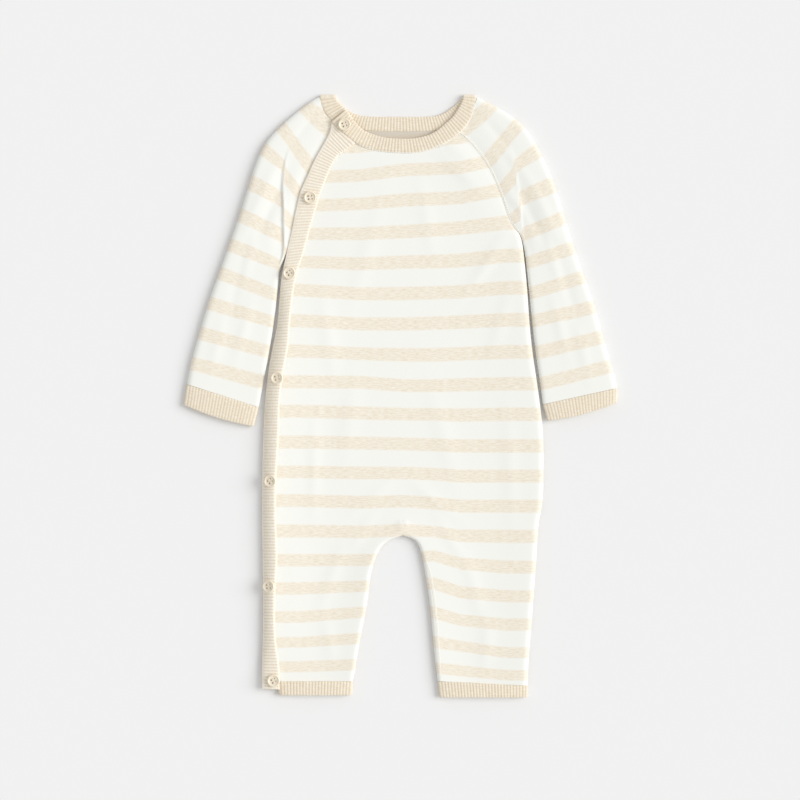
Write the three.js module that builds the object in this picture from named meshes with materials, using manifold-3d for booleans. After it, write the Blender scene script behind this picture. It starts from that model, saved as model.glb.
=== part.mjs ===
// A knitted baby romper, laid flat on its back: raglan sleeves, a ribbed neckband, and one ribbed button
// placket that runs from the neck along the raglan line and down the side to the hem of the leg.
// Millimetres, +Z up. The garment lies on z = 0 with its neck towards +Y and the origin under its middle.
import * as THREE from "three";
import { mergeVertices } from "three/addons/utils/BufferGeometryUtils.js";
import Module from "manifold-3d";

// Cloth
const KNIT = 1.8; // wall of the striped knit
const BAND = 2.0; // wall of the ribbed bands without their ribs
const SEAM = 0.4; // gap between pieces that are sewn together
const COARSE_EDGE = 0.5; // added to it where few points follow a curved edge
const ARMPIT_GAP = 0.3; // and where two walls begin to roll over
const RIB_PITCH = 2.6; // one rib and one groove
const RIB_HEIGHT = 0.45;
const BACK_LEVEL = KNIT / 2; // middle of the back wall, which lies on the floor
const FRONT_LEVEL = 3.4; // middle of the front wall where it lies on the back
const LOWEST_FRONT = BACK_LEVEL + KNIT + 0.3;
const SIDE_PUFF = 1.9; // how far the front stands higher beside a rolled edge
const PUFF_REACH = 22;
const SIDE_ROLL = 4.5; // width in plan of the roll at a side or a fold
const INSEAM_ROLL = 3;
const INSEAM_PUFF = 1.4; // how far the front stands higher beside the crotch and the inseams
const INSEAM_REACH = 12;

// Placket
const LAP = BAND / 2 + 0.3 + KNIT / 2; // from the middle of the placket to the middle of what lies under it
const PLACKET_TURN = THREE.MathUtils.degToRad(75); // how far the placket turns down where it drops
const FRONT_UNDERLAP = 0.17; // the share of the placket's width that covers the front panel
const STAND = { from: 0.25, to: 0.82, toRolled: 0.62, toNeck: 0.66 }; // shares of the placket's width
const SLEEVE_UNDERLAP = 0.89;

// Buttons
const BUTTON_RADIUS = 5.4;
const BUTTON_THICK = 2.3;
const BUTTON_RIM = 1.25; // width of the raised rim
const BUTTON_DISH = 0.7; // depth of the middle below the rim
const HOLE_RADIUS = 0.75;
const HOLE_PLACE = 1.35;
const BUTTON_GAP = 0.3;

// Hems and cuffs
const HEM_LEVEL = 4.6; // middle of the front wall of a leg hem
const CUFF_TOP = 4.8;
const CUFF_RIB = 0.3;

const COLOURS = {
  white: { color: "#f6f4ec", roughness: 0.92, metalness: 0 },
  heather: { color: "#efe5d3", roughness: 0.92, metalness: 0 },
  button: { color: "#f1e6d2", roughness: 0.4, metalness: 0 },
};

// The neckband, a row for each section: the sewn edge, the free edge, and the height of its middle.
// It starts at its buttoned end on the right shoulder, crosses the front, folds over at the left
// shoulder, runs along the back, folds again and ends under its own start.
const NECK_FRONT = [
  { sewnX: -59.1, sewnY: 233.3, freeX: -47.2, freeY: 243.5, z: 6.5 },
  { sewnX: -48.9, sewnY: 223.9, freeX: -40.4, freeY: 234.1, z: 6.5 },
  { sewnX: -38.7, sewnY: 215.9, freeX: -32.7, freeY: 226.5, z: 5.0 },
  { sewnX: -28.5, sewnY: 211.2, freeX: -24.2, freeY: 222.7, z: 3.9 },
  { sewnX: -16.6, sewnY: 208.7, freeX: -14.0, freeY: 219.9, z: 3.8 },
  { sewnX: -1.3, sewnY: 207.5, freeX: -1.3, freeY: 218.9, z: 3.8 },
  { sewnX: 13.2, sewnY: 207.8, freeX: 10.6, freeY: 219.3, z: 3.8 },
  { sewnX: 26.8, sewnY: 210.8, freeX: 21.7, freeY: 221.8, z: 3.9 },
  { sewnX: 36.1, sewnY: 215.5, freeX: 29.7, freeY: 225.7, z: 4.0 },
  { sewnX: 44.6, sewnY: 221.0, freeX: 37.0, freeY: 231.6, z: 4.0 },
  { sewnX: 52.3, sewnY: 227.8, freeX: 42.9, freeY: 237.1, z: 4.0 },
  { sewnX: 58.2, sewnY: 237.1, freeX: 48.0, freeY: 244.4, z: 3.9 },
  { sewnX: 61.6, sewnY: 246.9, freeX: 51.0, freeY: 250.3, z: 3.7 },
  { sewnX: 62.9, sewnY: 254.0, freeX: 52.3, freeY: 254.4, z: 3.4 },
];
const NECK_BACK = [
  { sewnX: 62.9, sewnY: 254.0, freeX: 52.3, freeY: 254.4, z: 1.0 },
  { sewnX: 59.1, sewnY: 246.1, freeX: 48.9, freeY: 250.6, z: 1.0 },
  { sewnX: 50.6, sewnY: 236.7, freeX: 42.5, freeY: 245.2, z: 1.0 },
  { sewnX: 39.5, sewnY: 229.1, freeX: 33.6, freeY: 239.7, z: 1.0 },
  { sewnX: 24.2, sewnY: 226.1, freeX: 21.7, freeY: 237.6, z: 1.0 },
  { sewnX: -1.3, sewnY: 225.7, freeX: -1.3, freeY: 237.6, z: 1.0 },
  { sewnX: -25.1, sewnY: 226.1, freeX: -23.4, freeY: 237.6, z: 1.0 },
  { sewnX: -42.1, sewnY: 228.6, freeX: -37.0, freeY: 239.3, z: 1.0 },
  { sewnX: -54.8, sewnY: 235.4, freeX: -46.3, freeY: 243.9, z: 1.0 },
  { sewnX: -64.2, sewnY: 243.9, freeX: -52.7, freeY: 249.9, z: 1.0 },
  { sewnX: -68.6, sewnY: 254.0, freeX: -55.9, freeY: 254.2, z: 1.0 },
];
const NECK_UNDER = [
  { sewnX: -68.6, sewnY: 254.0, freeX: -55.9, freeY: 254.2, z: 3.4 },
  { sewnX: -67.6, sewnY: 248.2, freeX: -54.4, freeY: 251.0, z: 3.7 },
  { sewnX: -64.2, sewnY: 241.0, freeX: -51.5, freeY: 247.6, z: 3.8 },
  { sewnX: -58.2, sewnY: 234.2, freeX: -46.4, freeY: 243.1, z: 3.8 },
  { sewnX: -50.6, sewnY: 226.6, freeX: -40.9, freeY: 235.6, z: 3.8 },
];

// The button placket, a row for each section from neck to hem: its free edge, the edge that is sewn to the
// front, the height of its middle at the sewn edge, and how far it drops from there to the free edge.
const PLACKET = [
  { freeX: -59.4, freeY: 232.4, sewnX: -39.2, sewnY: 215.0, z: 5.6, drop: 0 },
  { freeX: -61.2, freeY: 224.0, sewnX: -47.6, sewnY: 209.5, z: 5.5, drop: 0 },
  { freeX: -67.2, freeY: 212.5, sewnX: -54.8, sewnY: 204.0, z: 5.5, drop: 0 },
  { freeX: -73.5, freeY: 201.5, sewnX: -59.9, sewnY: 195.5, z: 5.5, drop: 0 },
  { freeX: -79.9, freeY: 187.3, sewnX: -65.1, sewnY: 183.5, z: 5.5, drop: 0 },
  { freeX: -86.0, freeY: 173.6, sewnX: -69.7, sewnY: 171.6, z: 5.5, drop: 0.2 },
  { freeX: -89.7, freeY: 158.5, sewnX: -73.6, sewnY: 158.5, z: 5.5, drop: 0.3 },
  { freeX: -93.5, freeY: 139.8, sewnX: -78.7, sewnY: 141.0, z: 5.6, drop: 0.4 },
  { freeX: -98.0, freeY: 119.8, sewnX: -83.8, sewnY: 121.6, z: 5.8, drop: 0.7 },
  { freeX: -101.4, freeY: 102.4, sewnX: -89.6, sewnY: 104.0, z: 6.4, drop: 1.8 },
  { freeX: -103.2, freeY: 82.0, sewnX: -93.1, sewnY: 83.4, z: 7.2, drop: 4.2 },
  { freeX: -105.0, freeY: 60.8, sewnX: -95.3, sewnY: 61.6, z: 7.8, drop: 5.6 },
  { freeX: -109.0, freeY: 41.6, sewnX: -96.9, sewnY: 42.1, z: 8.0, drop: 6.2 },
  { freeX: -112.7, freeY: 20.4, sewnX: -100.9, sewnY: 20.0, z: 8.1, drop: 6.6 },
  { freeX: -115.2, freeY: -3.0, sewnX: -103.9, sewnY: -3.0, z: 8.1, drop: 6.8 },
  { freeX: -116.9, freeY: -34.0, sewnX: -104.8, sewnY: -34.0, z: 8.1, drop: 6.8 },
  { freeX: -117.8, freeY: -71.0, sewnX: -107.0, sewnY: -71.0, z: 8.1, drop: 6.8 },
  { freeX: -117.8, freeY: -105.0, sewnX: -107.1, sewnY: -105.0, z: 8.1, drop: 6.8 },
  { freeX: -117.4, freeY: -139.0, sewnX: -106.2, sewnY: -139.0, z: 8.0, drop: 6.6 },
  { freeX: -117.0, freeY: -173.0, sewnX: -108.0, sewnY: -173.0, z: 7.8, drop: 6.3 },
  { freeX: -117.3, freeY: -205.0, sewnX: -107.4, sewnY: -205.0, z: 7.4, drop: 5.6 },
  { freeX: -118.2, freeY: -228.3, sewnX: -104.6, sewnY: -228.3, z: 6.3, drop: 3.0 },
  { freeX: -118.2, freeY: -248.2, sewnX: -103.7, sewnY: -248.6, z: 5.6, drop: 1.2 },
];

// Buttons: the row of the placket table where each one sits, and its place across, from 0 at the sewn edge to
// 1 at the free edge. The first sits on the end of the neckband, at a row of the neckband's own table.
const NECK_BUTTON = { row: 0.7, across: 0.38 };
const BUTTONS = [
  { row: 5.28, across: 0.31 },
  { row: 8.92, across: 0.365 },
  { row: 13.2, across: 0.21 },
  { row: 16.02, across: 0.25 },
  { row: 18.64, across: 0.33 },
  { row: 21.62, across: 0.23 },
];

// The sleeves, a row for each section from neck to cuff. The plan has the front seam, the back seam and the
// outer fold. The form has the height of the front's middle at that fold, whether the inner edge is rolled,
// and the crease that runs up from the armpit, by its place across and its depth. The wearer's right sleeve
// is the one at -X, where the front seam lies under the placket, at the given row of the placket table.
const ARMPIT_ROW = 5;
const LEFT_SLEEVE_PLAN = [
  { x: 48.9, y: 223.9, backX: 44.2, backY: 231.6, foldX: 65.0, foldY: 254.4 },
  { x: 58.2, y: 216.7, backX: 53.5, backY: 213.0, foldX: 76.9, foldY: 247.8 },
  { x: 72.7, y: 198.4, backX: 65.0, backY: 193.0, foldX: 101.6, foldY: 233.7 },
  { x: 84.1, y: 174.6, backX: 76.0, backY: 173.0, foldX: 116.9, foldY: 209.5 },
  { x: 93.1, y: 149.1, backX: 88.0, backY: 154.0, foldX: 130.5, foldY: 179.8 },
  { x: 102.2, y: 136.0, backX: 102.2, backY: 136.0, foldX: 138.1, foldY: 151.7 },
  { x: 105.9, y: 113.4, backX: 105.9, backY: 113.4, foldX: 146.6, foldY: 126.2 },
  { x: 108.6, y: 87.1, backX: 108.6, backY: 87.1, foldX: 155.1, foldY: 101.6 },
  { x: 110.8, y: 64.1, backX: 110.8, backY: 64.1, foldX: 164.5, foldY: 76.1 },
  { x: 113.8, y: 36.9, backX: 113.8, backY: 36.9, foldX: 170.8, foldY: 50.6 },
  { x: 117.9, y: 10.6, backX: 117.9, backY: 10.6, foldX: 178.5, foldY: 25.9 },
  { x: 120.0, y: -6.6, backX: 120.0, backY: -6.6, foldX: 183.0, foldY: 7.2 },
];
const LEFT_SLEEVE_FORM = [
  { top: 4.0, rolled: 0, crease: 0.5, deep: 0 },
  { top: 4.6, rolled: 0, crease: 0.5, deep: 0 },
  { top: 5.2, rolled: 0, crease: 0.55, deep: 0.3 },
  { top: 5.5, rolled: 0, crease: 0.48, deep: 1.1 },
  { top: 5.6, rolled: 0, crease: 0.27, deep: 1.5 },
  { top: 5.6, rolled: 0.5, crease: 0.1, deep: 0.8 },
  { top: 5.6, rolled: 1, crease: 0.1, deep: 0 },
  { top: 5.6, rolled: 1, crease: 0.1, deep: 0 },
  { top: 5.6, rolled: 1, crease: 0.1, deep: 0 },
  { top: 5.6, rolled: 1, crease: 0.1, deep: 0 },
  { top: 5.5, rolled: 1, crease: 0.1, deep: 0 },
  { top: 5.2, rolled: 1, crease: 0.1, deep: 0 },
];
const RIGHT_SLEEVE_PLAN = [
  { x: -57.0, y: 231.4, backX: -49.0, backY: 231.8, foldX: -70.0, foldY: 254.6 },
  { x: -64.0, y: 214.0, backX: -57.0, backY: 213.0, foldX: -82.9, foldY: 246.9 },
  { x: -77.0, y: 193.0, backX: -67.0, backY: 192.0, foldX: -102.9, foldY: 229.9 },
  { x: -86.0, y: 172.0, backX: -78.0, backY: 169.0, foldX: -119.0, foldY: 211.6 },
  { x: -92.0, y: 146.0, backX: -90.0, backY: 144.0, foldX: -128.8, foldY: 181.5 },
  { x: -98.0, y: 121.0, backX: -99.8, backY: 118.0, foldX: -137.5, foldY: 154.3 },
  { x: -103.9, y: 107.5, backX: -103.9, backY: 107.5, foldX: -146.6, foldY: 128.8 },
  { x: -105.6, y: 85.4, backX: -105.6, backY: 85.4, foldX: -155.1, foldY: 105.0 },
  { x: -108.2, y: 63.3, backX: -108.2, backY: 63.3, foldX: -164.5, foldY: 79.5 },
  { x: -112.2, y: 37.8, backX: -112.2, backY: 37.8, foldX: -171.7, foldY: 54.0 },
  { x: -117.3, y: 12.3, backX: -117.3, backY: 12.3, foldX: -179.4, foldY: 28.5 },
  { x: -121.2, y: -9.0, backX: -121.2, backY: -9.0, foldX: -182.3, foldY: 10.6 },
];
const RIGHT_SLEEVE_FORM = [
  { top: 4.0, rolled: 0, crease: 0.5, deep: 0, placketRow: 0.35 },
  { top: 4.6, rolled: 0, crease: 0.5, deep: 0, placketRow: 1.75 },
  { top: 5.2, rolled: 0, crease: 0.6, deep: 0.6, placketRow: 3.55 },
  { top: 5.5, rolled: 0, crease: 0.56, deep: 1.4, placketRow: 5.1 },
  { top: 5.7, rolled: 0, crease: 0.24, deep: 1.7, placketRow: 6.7 },
  { top: 5.7, rolled: 0.3, crease: 0.12, deep: 1.2, placketRow: 7.9 },
  { top: 5.6, rolled: 1, crease: 0.1, deep: 0 },
  { top: 5.6, rolled: 1, crease: 0.1, deep: 0 },
  { top: 5.6, rolled: 1, crease: 0.1, deep: 0 },
  { top: 5.6, rolled: 1, crease: 0.1, deep: 0 },
  { top: 5.5, rolled: 1, crease: 0.1, deep: 0 },
  { top: 5.2, rolled: 1, crease: 0.1, deep: 0 },
];
// The open ends of the cuffs: inner edge, outer fold, and how far the middle of the edge bows out.
const LEFT_CUFF = { x: 124.0, y: -20.6, foldX: 182.4, foldY: -5.6, bow: 2.2 };
const RIGHT_CUFF = { x: -125.4, y: -25.6, foldX: -184.8, foldY: -7.3, bow: 2.0 };

// The left side of the body from armpit to hem, as the outline shows it.
const LEFT_SIDE = [
  { y: 136.0, x: 101.8 },
  { y: 124.0, x: 103.4 },
  { y: 111.8, x: 104.8 },
  { y: 90.5, x: 106.9 },
  { y: 56.5, x: 109.0 },
  { y: 29.3, x: 112.2 },
  { y: 14.0, x: 114.8 },
  { y: 1.3, x: 116.6 },
  { y: -15.7, x: 118.6 },
  { y: -28.5, x: 120.2 },
  { y: -58.2, x: 120.4 },
  { y: -88.0, x: 120.0 },
  { y: -108.0, x: 116.4 },
  { y: -139.0, x: 114.3 },
  { y: -173.0, x: 111.8 },
  { y: -207.0, x: 109.2 },
  { y: -224.0, x: 107.6 },
  { y: -256.0, x: 106.7 },
];
// The insides of the two legs from crotch to hem. The tilt is how far a row of the left leg runs down
// towards its outer side.
const LEGS = [
  { y: -117.8, rightX: 1.3, leftX: 1.3, tilt: 0 },
  { y: -120.0, rightX: -7.5, leftX: 10.0, tilt: 0.5 },
  { y: -124.0, rightX: -15.0, leftX: 13.8, tilt: 1.0 },
  { y: -130.0, rightX: -19.0, leftX: 16.2, tilt: 1.6 },
  { y: -138.0, rightX: -22.6, leftX: 18.2, tilt: 2.2 },
  { y: -150.0, rightX: -26.4, leftX: 20.2, tilt: 3.0 },
  { y: -165.0, rightX: -28.0, leftX: 22.6, tilt: 3.6 },
  { y: -180.0, rightX: -30.0, leftX: 24.6, tilt: 4.2 },
  { y: -195.0, rightX: -33.2, leftX: 26.0, tilt: 4.8 },
  { y: -210.0, rightX: -36.0, leftX: 27.2, tilt: 5.0 },
  { y: -225.0, rightX: -38.6, leftX: 28.6, tilt: 4.6 },
  { y: -242.0, rightX: -41.0, leftX: 30.8, tilt: 3.6 },
  { y: -256.0, rightX: -42.3, leftX: 32.7, tilt: 0.2 },
];
const PANEL_END = -241.6; // where the legs end and their ribbed hems begin
const HEM_TOP = PANEL_END - SEAM;
const HEM_END = { right: -253.6, left: -255.4 };

// Soft folds of the front wall, in plan: the middle, the turn of the long axis from +X in degrees, the half
// length and half width, and the height, which is below zero for a trough.
const FOLDS = [
  { x: -78, y: -70, turn: 88, long: 60, wide: 8, high: -0.9 },
  { x: -62, y: 60, turn: 82, long: 70, wide: 14, high: 0.5 },
  { x: 70, y: 90, turn: 60, long: 34, wide: 9, high: 0.7 },
  { x: 20, y: -86, turn: 4, long: 46, wide: 9, high: 0.6 },
  { x: -30, y: -150, turn: 64, long: 30, wide: 7, high: 0.7 },
  { x: 44, y: -150, turn: 112, long: 30, wide: 7, high: 0.7 },
  { x: 84, y: -20, turn: 84, long: 60, wide: 10, high: 0.5 },
  { x: 60, y: 190, turn: 145, long: 16, wide: 6, high: 0.5 },
];

const TOP_EDGE = 3.3; // height of a front wall's middle at a seam
const BOTTOM_EDGE = TOP_EDGE - SEAM; // and of a back wall's where it rolls up to that seam
const ROLL_ANGLES = [0, 30, 60, 90].map(THREE.MathUtils.degToRad);

const { lerp, clamp, smoothstep } = THREE.MathUtils;
const wasm = await Module();
wasm.setup();

// Reads a table anywhere between its rows, as a smooth curve. The key is a column that rises or falls all the
// way, or the number of the row.
function reader(table, key) {
  const rows = table.map((row, number) => ({ ...row, number }));
  const by = key ?? "number";
  const sign = Math.sign(rows.at(-1)[by] - rows[0][by]);
  const slope = (name, i) => {
    const before = rows[Math.max(i - 1, 0)];
    const after = rows[Math.min(i + 1, rows.length - 1)];
    return (after[name] - before[name]) / (after[by] - before[by]);
  };
  return (place) => {
    let i = 0;
    while (i < rows.length - 2 && (rows[i + 1][by] - place) * sign < 0) i += 1;
    const span = rows[i + 1][by] - rows[i][by];
    const t = clamp((place - rows[i][by]) / span, 0, 1);
    const read = {};
    for (const name of Object.keys(rows[i])) {
      const [a, b] = [rows[i][name], rows[i + 1][name] ?? rows[i][name]];
      const bendA = slope(name, i) * span || 0;
      const bendB = slope(name, i + 1) * span || 0;
      const cube = (2 * a + bendA - 2 * b + bendB) * t ** 3;
      read[name] = cube + (3 * b - 3 * a - 2 * bendA - bendB) * t ** 2 + bendA * t + a;
    }
    return read;
  };
}

const neckFront = reader(NECK_FRONT);
const neckBack = reader(NECK_BACK);
const neckUnder = reader(NECK_UNDER);
const placket = reader(PLACKET);
const leftSide = reader(LEFT_SIDE, "y");
const legs = reader(LEGS, "y");
const withForm = (table, form) => table.map((row, i) => ({ ...row, ...form[i] }));
const leftSleeve = reader(withForm(LEFT_SLEEVE_PLAN, LEFT_SLEEVE_FORM));
const rightSleeve = reader(withForm(RIGHT_SLEEVE_PLAN, RIGHT_SLEEVE_FORM));

const steps = (count) => Array.from({ length: count + 1 }, (_, i) => i / count);
const gaussian = (x) => Math.exp(-x * x);
const plan = (x, y, z = 0) => new THREE.Vector3(x, y, z);

// The height that the soft folds give the front wall at a place.
function foldHeight(x, y) {
  return FOLDS.reduce((sum, fold) => {
    const turn = THREE.MathUtils.degToRad(fold.turn);
    const along = (x - fold.x) * Math.cos(turn) + (y - fold.y) * Math.sin(turn);
    const across = (y - fold.y) * Math.cos(turn) - (x - fold.x) * Math.sin(turn);
    return sum + fold.high * gaussian(along / fold.long) * gaussian(across / fold.wide);
  }, 0);
}

// A closed wall of cloth round a net of middle points. Quads run anticlockwise as seen from outside. The
// outer and inner faces can be raised at each point, for ribs.
function wall(points, quads, thickness, raised = () => [0, 0]) {
  const normals = points.map(() => plan(0, 0));
  for (const [a, b, c, d] of quads) {
    const across = points[c].clone().sub(points[a]);
    const normal = across.cross(points[d].clone().sub(points[b]));
    for (const corner of [a, b, c, d]) normals[corner].add(normal);
  }
  const positions = [];
  for (const side of [0, 1]) {
    points.forEach((point, i) => {
      const away = thickness / 2 + raised(i)[side];
      const normal = normals[i].clone();
      normal.z *= 1 - (point.upright ?? 0);
      normal.normalize();
      const corner = point.clone().addScaledVector(normal, side ? -away : away);
      positions.push(corner.x, corner.y, Math.max(corner.z, 0));
    });
  }
  const inner = (i) => i + points.length;
  const edges = new Set(quads.flatMap((q) => q.map((a, k) => `${a} ${q[(k + 1) % 4]}`)));
  const index = [];
  for (const q of quads) {
    const [a, b, c, d] = q;
    index.push(a, b, c, a, c, d, inner(c), inner(b), inner(a), inner(d), inner(c), inner(a));
    q.forEach((from, k) => {
      const to = q[(k + 1) % 4];
      if (edges.has(`${to} ${from}`)) return;
      index.push(to, from, inner(from), to, inner(from), inner(to));
    });
  }
  return indexed(positions, index);
}

function indexed(positions, index) {
  const geometry = new THREE.BufferGeometry();
  geometry.setAttribute("position", new THREE.Float32BufferAttribute(positions, 3));
  geometry.setIndex(index);
  return geometry;
}

// Collects rows of points into one net of quads. Rows may share points, as the legs share the crotch's row.
class Net {
  points = [];
  quads = [];

  add(points) {
    return points.map((point) => this.points.push(point) - 1);
  }

  // Joins two rows of point numbers. The cloth faces up where rows run towards -Y and points towards +X.
  join(above, below, turned) {
    for (let i = 0; i + 1 < above.length; i += 1) {
      const quad = [above[i], below[i], below[i + 1], above[i + 1]];
      this.quads.push(turned ? quad.reverse() : quad);
    }
  }

  rows(rows, turned, first) {
    let above = first ?? this.add(rows.shift());
    for (const row of rows) {
      const below = this.add(row);
      this.join(above, below, turned);
      above = below;
    }
    return above;
  }
}

// How far cloth has risen from a seam at a distance from it: in a round roll, or gently where it lies flat.
function rise(distance, width, rolled) {
  const gentle = smoothstep(distance, 0, 3 * width);
  const round = Math.sqrt(1 - (1 - Math.min(distance / width, 1)) ** 2);
  return lerp(gentle, round, rolled);
}

// A line of middle points from one edge of the cloth to the other. An edge is { x, y, z, roll, rolled }: its
// place, its height, the width of its roll in plan, and 1 where it is rolled or 0 where it lies flat. An
// edge with no roll has its height from the level alone. The level gives the height between the edges.
function line(from, to, count, level) {
  const length = Math.hypot(to.x - from.x, to.y - from.y);
  const start = from.roll ?? 0;
  const end = to.roll ?? 0;
  const places = [];
  if (start) places.push(...ROLL_ANGLES.slice(0, -1).map((angle) => start * (1 - Math.cos(angle))));
  places.push(...steps(count).map((t) => lerp(start, length - end, t)));
  if (end) places.push(...ROLL_ANGLES.slice(0, -1).map((a) => length - end * (1 - Math.cos(a))).reverse());
  const points = places.map((d) => {
    const x = lerp(from.x, to.x, d / length);
    const y = lerp(from.y, to.y, d / length);
    let z = level(x, y, d, length);
    if (from.z !== undefined) z = lerp(from.z, z, rise(d, start || SIDE_ROLL, from.rolled));
    if (to.z !== undefined) z = lerp(to.z, z, rise(length - d, end || SIDE_ROLL, to.rolled));
    return plan(x, y, z);
  });
  // A rolled edge stands upright, so its wall meets the next one squarely.
  if (from.rolled) points[0].upright = from.rolled;
  if (to.rolled) points.at(-1).upright = to.rolled;
  return points;
}

// A place on the neckband's sewn edge, moved off it by the seam, and by more where few points follow a
// curved edge.
function neckEdge(read, row, more = 0.1) {
  const { sewnX, sewnY, freeX, freeY } = read(row);
  const out = plan(sewnX - freeX, sewnY - freeY).setLength(SEAM + more);
  return { x: sewnX + out.x, y: sewnY + out.y };
}

// A point of the placket's middle, across from 0 at the sewn edge to 1 at the free edge, moved off along its
// normal. Where the placket drops it follows an arc of an ellipse.
function placketPoint(row, across, off = 0) {
  const { freeX, freeY, sewnX, sewnY, z, drop } = placket(row);
  const angle = across * PLACKET_TURN;
  const out = Math.sin(angle) / Math.sin(PLACKET_TURN);
  const down = (1 - Math.cos(angle)) / (1 - Math.cos(PLACKET_TURN));
  const width = plan(freeX - sewnX, freeY - sewnY);
  const run = (width.length() * Math.cos(angle)) / Math.sin(PLACKET_TURN);
  const fall = (drop * Math.sin(angle)) / (1 - Math.cos(PLACKET_TURN));
  const side = width.clone().normalize();
  const normal = plan(side.x * fall, side.y * fall, run).normalize();
  const point = plan(lerp(sewnX, freeX, out), lerp(sewnY, freeY, out), z - drop * down);
  return { point: point.addScaledVector(normal, off), normal };
}

// The row of the placket table whose sewn edge is at a height in plan.
function placketRowAt(y) {
  let [low, high] = [0, PLACKET.length - 1];
  for (let i = 0; i < 30; i += 1) {
    const middle = (low + high) / 2;
    if (placket(middle).sewnY > y) low = middle;
    else high = middle;
  }
  return low;
}

// Places along a table at even distances of about one step.
function evenly(pointAt, last, step) {
  const fine = steps(last * 24).map((t) => t * last);
  const lengths = [0];
  fine.slice(1).forEach((row, i) => {
    lengths.push(lengths[i] + pointAt(row).distanceTo(pointAt(fine[i])));
  });
  const count = Math.round(lengths.at(-1) / step / 2) * 2;
  let i = 0;
  return steps(count).map((t) => {
    const length = t * lengths.at(-1);
    while (i < lengths.length - 2 && lengths[i + 1] < length) i += 1;
    return lerp(fine[i], fine[i + 1], clamp((length - lengths[i]) / (lengths[i + 1] - lengths[i]), 0, 1));
  });
}

// The panels

const RAGLAN_ROWS = [0, 0.7, 1.4, 2.1, 2.8, 3.5, 4.25, 5]; // rows of the sleeve tables
const MIDDLE_X = 5; // the column of points that runs down to the crotch starts here at the neck
const MIDDLE_TOP = 60; // above this height in plan that column stands straight
const WIDE_SPREAD = 18; // and its points stand this wide, above a height of
const SPREAD_TOP = 20;
const STEPS = { frontToMiddle: 5, frontToSide: 4, back: 3 }; // steps across a half of each panel
const NECKLINE = { from: 2.0, to: 9.5 }; // rows of the neckband that the front is sewn to
const BACK_NECKLINE = { from: 7.55, to: 2.55 };
const FIRST_ROW = 0.12; // row of the placket where the cloth under it starts
const NECK_SAG = 7; // how far the rows below the neck hang in the middle
const RAGLAN_Y = { neck: 214, armpit: 136 }; // heights in plan at the placket's side of the front
const TORSO_ROWS = [122, 108, 90, 70, 50, 30, 12, -5, -22, -40, -58, -76, -92, -104, -112];
const CROTCH = LEGS[0];
const LEG_ROWS = LEGS.slice(1, -2).map((row) => row.y).concat(PANEL_END);

// The front raglan seam of the left sleeve, moved off it by half a seam to the sleeve's side or the body's.
function offSeam(read, columns, row, side) {
  const [x, y] = columns;
  const at = read(row);
  const before = read(Math.max(row - 0.1, 0));
  const after = read(row + 0.1);
  const gap = SEAM / 2 + ARMPIT_GAP * smoothstep(row, 3, ARMPIT_ROW);
  const off = plan(before[y] - after[y], after[x] - before[x]).setLength(gap * side);
  return { x: at[x] + off.x, y: at[y] + off.y };
}

// How tightly the points of a row stand beside the middle column, from the neck down to the crotch.
const middleSpread = (y) => lerp(INSEAM_ROLL, WIDE_SPREAD, smoothstep(y, CROTCH.y, SPREAD_TOP));
const middleX = (y) => lerp(CROTCH.leftX, MIDDLE_X, smoothstep(y, CROTCH.y, MIDDLE_TOP));

// How much higher the front stands beside the crotch and the insides of the legs.
function insidePuff(x, y) {
  const { rightX, leftX } = legs(y);
  const across = y > CROTCH.y ? x - CROTCH.leftX : Math.max(rightX - x, x - leftX, 0);
  return INSEAM_PUFF * gaussian(Math.hypot(across, Math.max(y - CROTCH.y, 0)) / INSEAM_REACH);
}

// The height of the front's middle between the placket and a side.
function frontLevel(leftX, leftZ, rightX) {
  return (x, y) => {
    const left = (leftZ - FRONT_LEVEL) * gaussian((x - leftX) / PUFF_REACH);
    const right = SIDE_PUFF * gaussian((rightX - x) / PUFF_REACH);
    const puff = Math.max(left, 0) + right + insidePuff(x, y);
    return Math.max(FRONT_LEVEL + puff + foldHeight(x, y), LOWEST_FRONT);
  };
}

// The front's first two points, under the placket and at its sewn edge.
function frontUnderPlacket(row) {
  return [FRONT_UNDERLAP, 0].map((across) => placketPoint(row, across, -LAP).point);
}

function frontRow(row, right, rolled, sag = () => 0) {
  const under = frontUnderPlacket(row);
  const left = under[1];
  const level = frontLevel(left.x, left.z, right.x);
  const middle = { x: middleX(left.y), y: (left.y + right.y) / 2 };
  const spread = middleSpread(left.y);
  const edge = { x: right.x - (rolled * KNIT) / 2, y: right.y, z: TOP_EDGE, roll: SIDE_ROLL, rolled };
  const leftHalf = line({ x: left.x, y: left.y }, { ...middle, roll: spread }, STEPS.frontToMiddle, level);
  const rightHalf = line({ ...middle, roll: spread }, edge, STEPS.frontToSide, level);
  const across = [...leftHalf, ...rightHalf.slice(1)];
  across.forEach((point, i) => {
    point.y += sag(i / (across.length - 1));
  });
  across[0].z = left.z;
  return [under[0], ...across];
}

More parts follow.
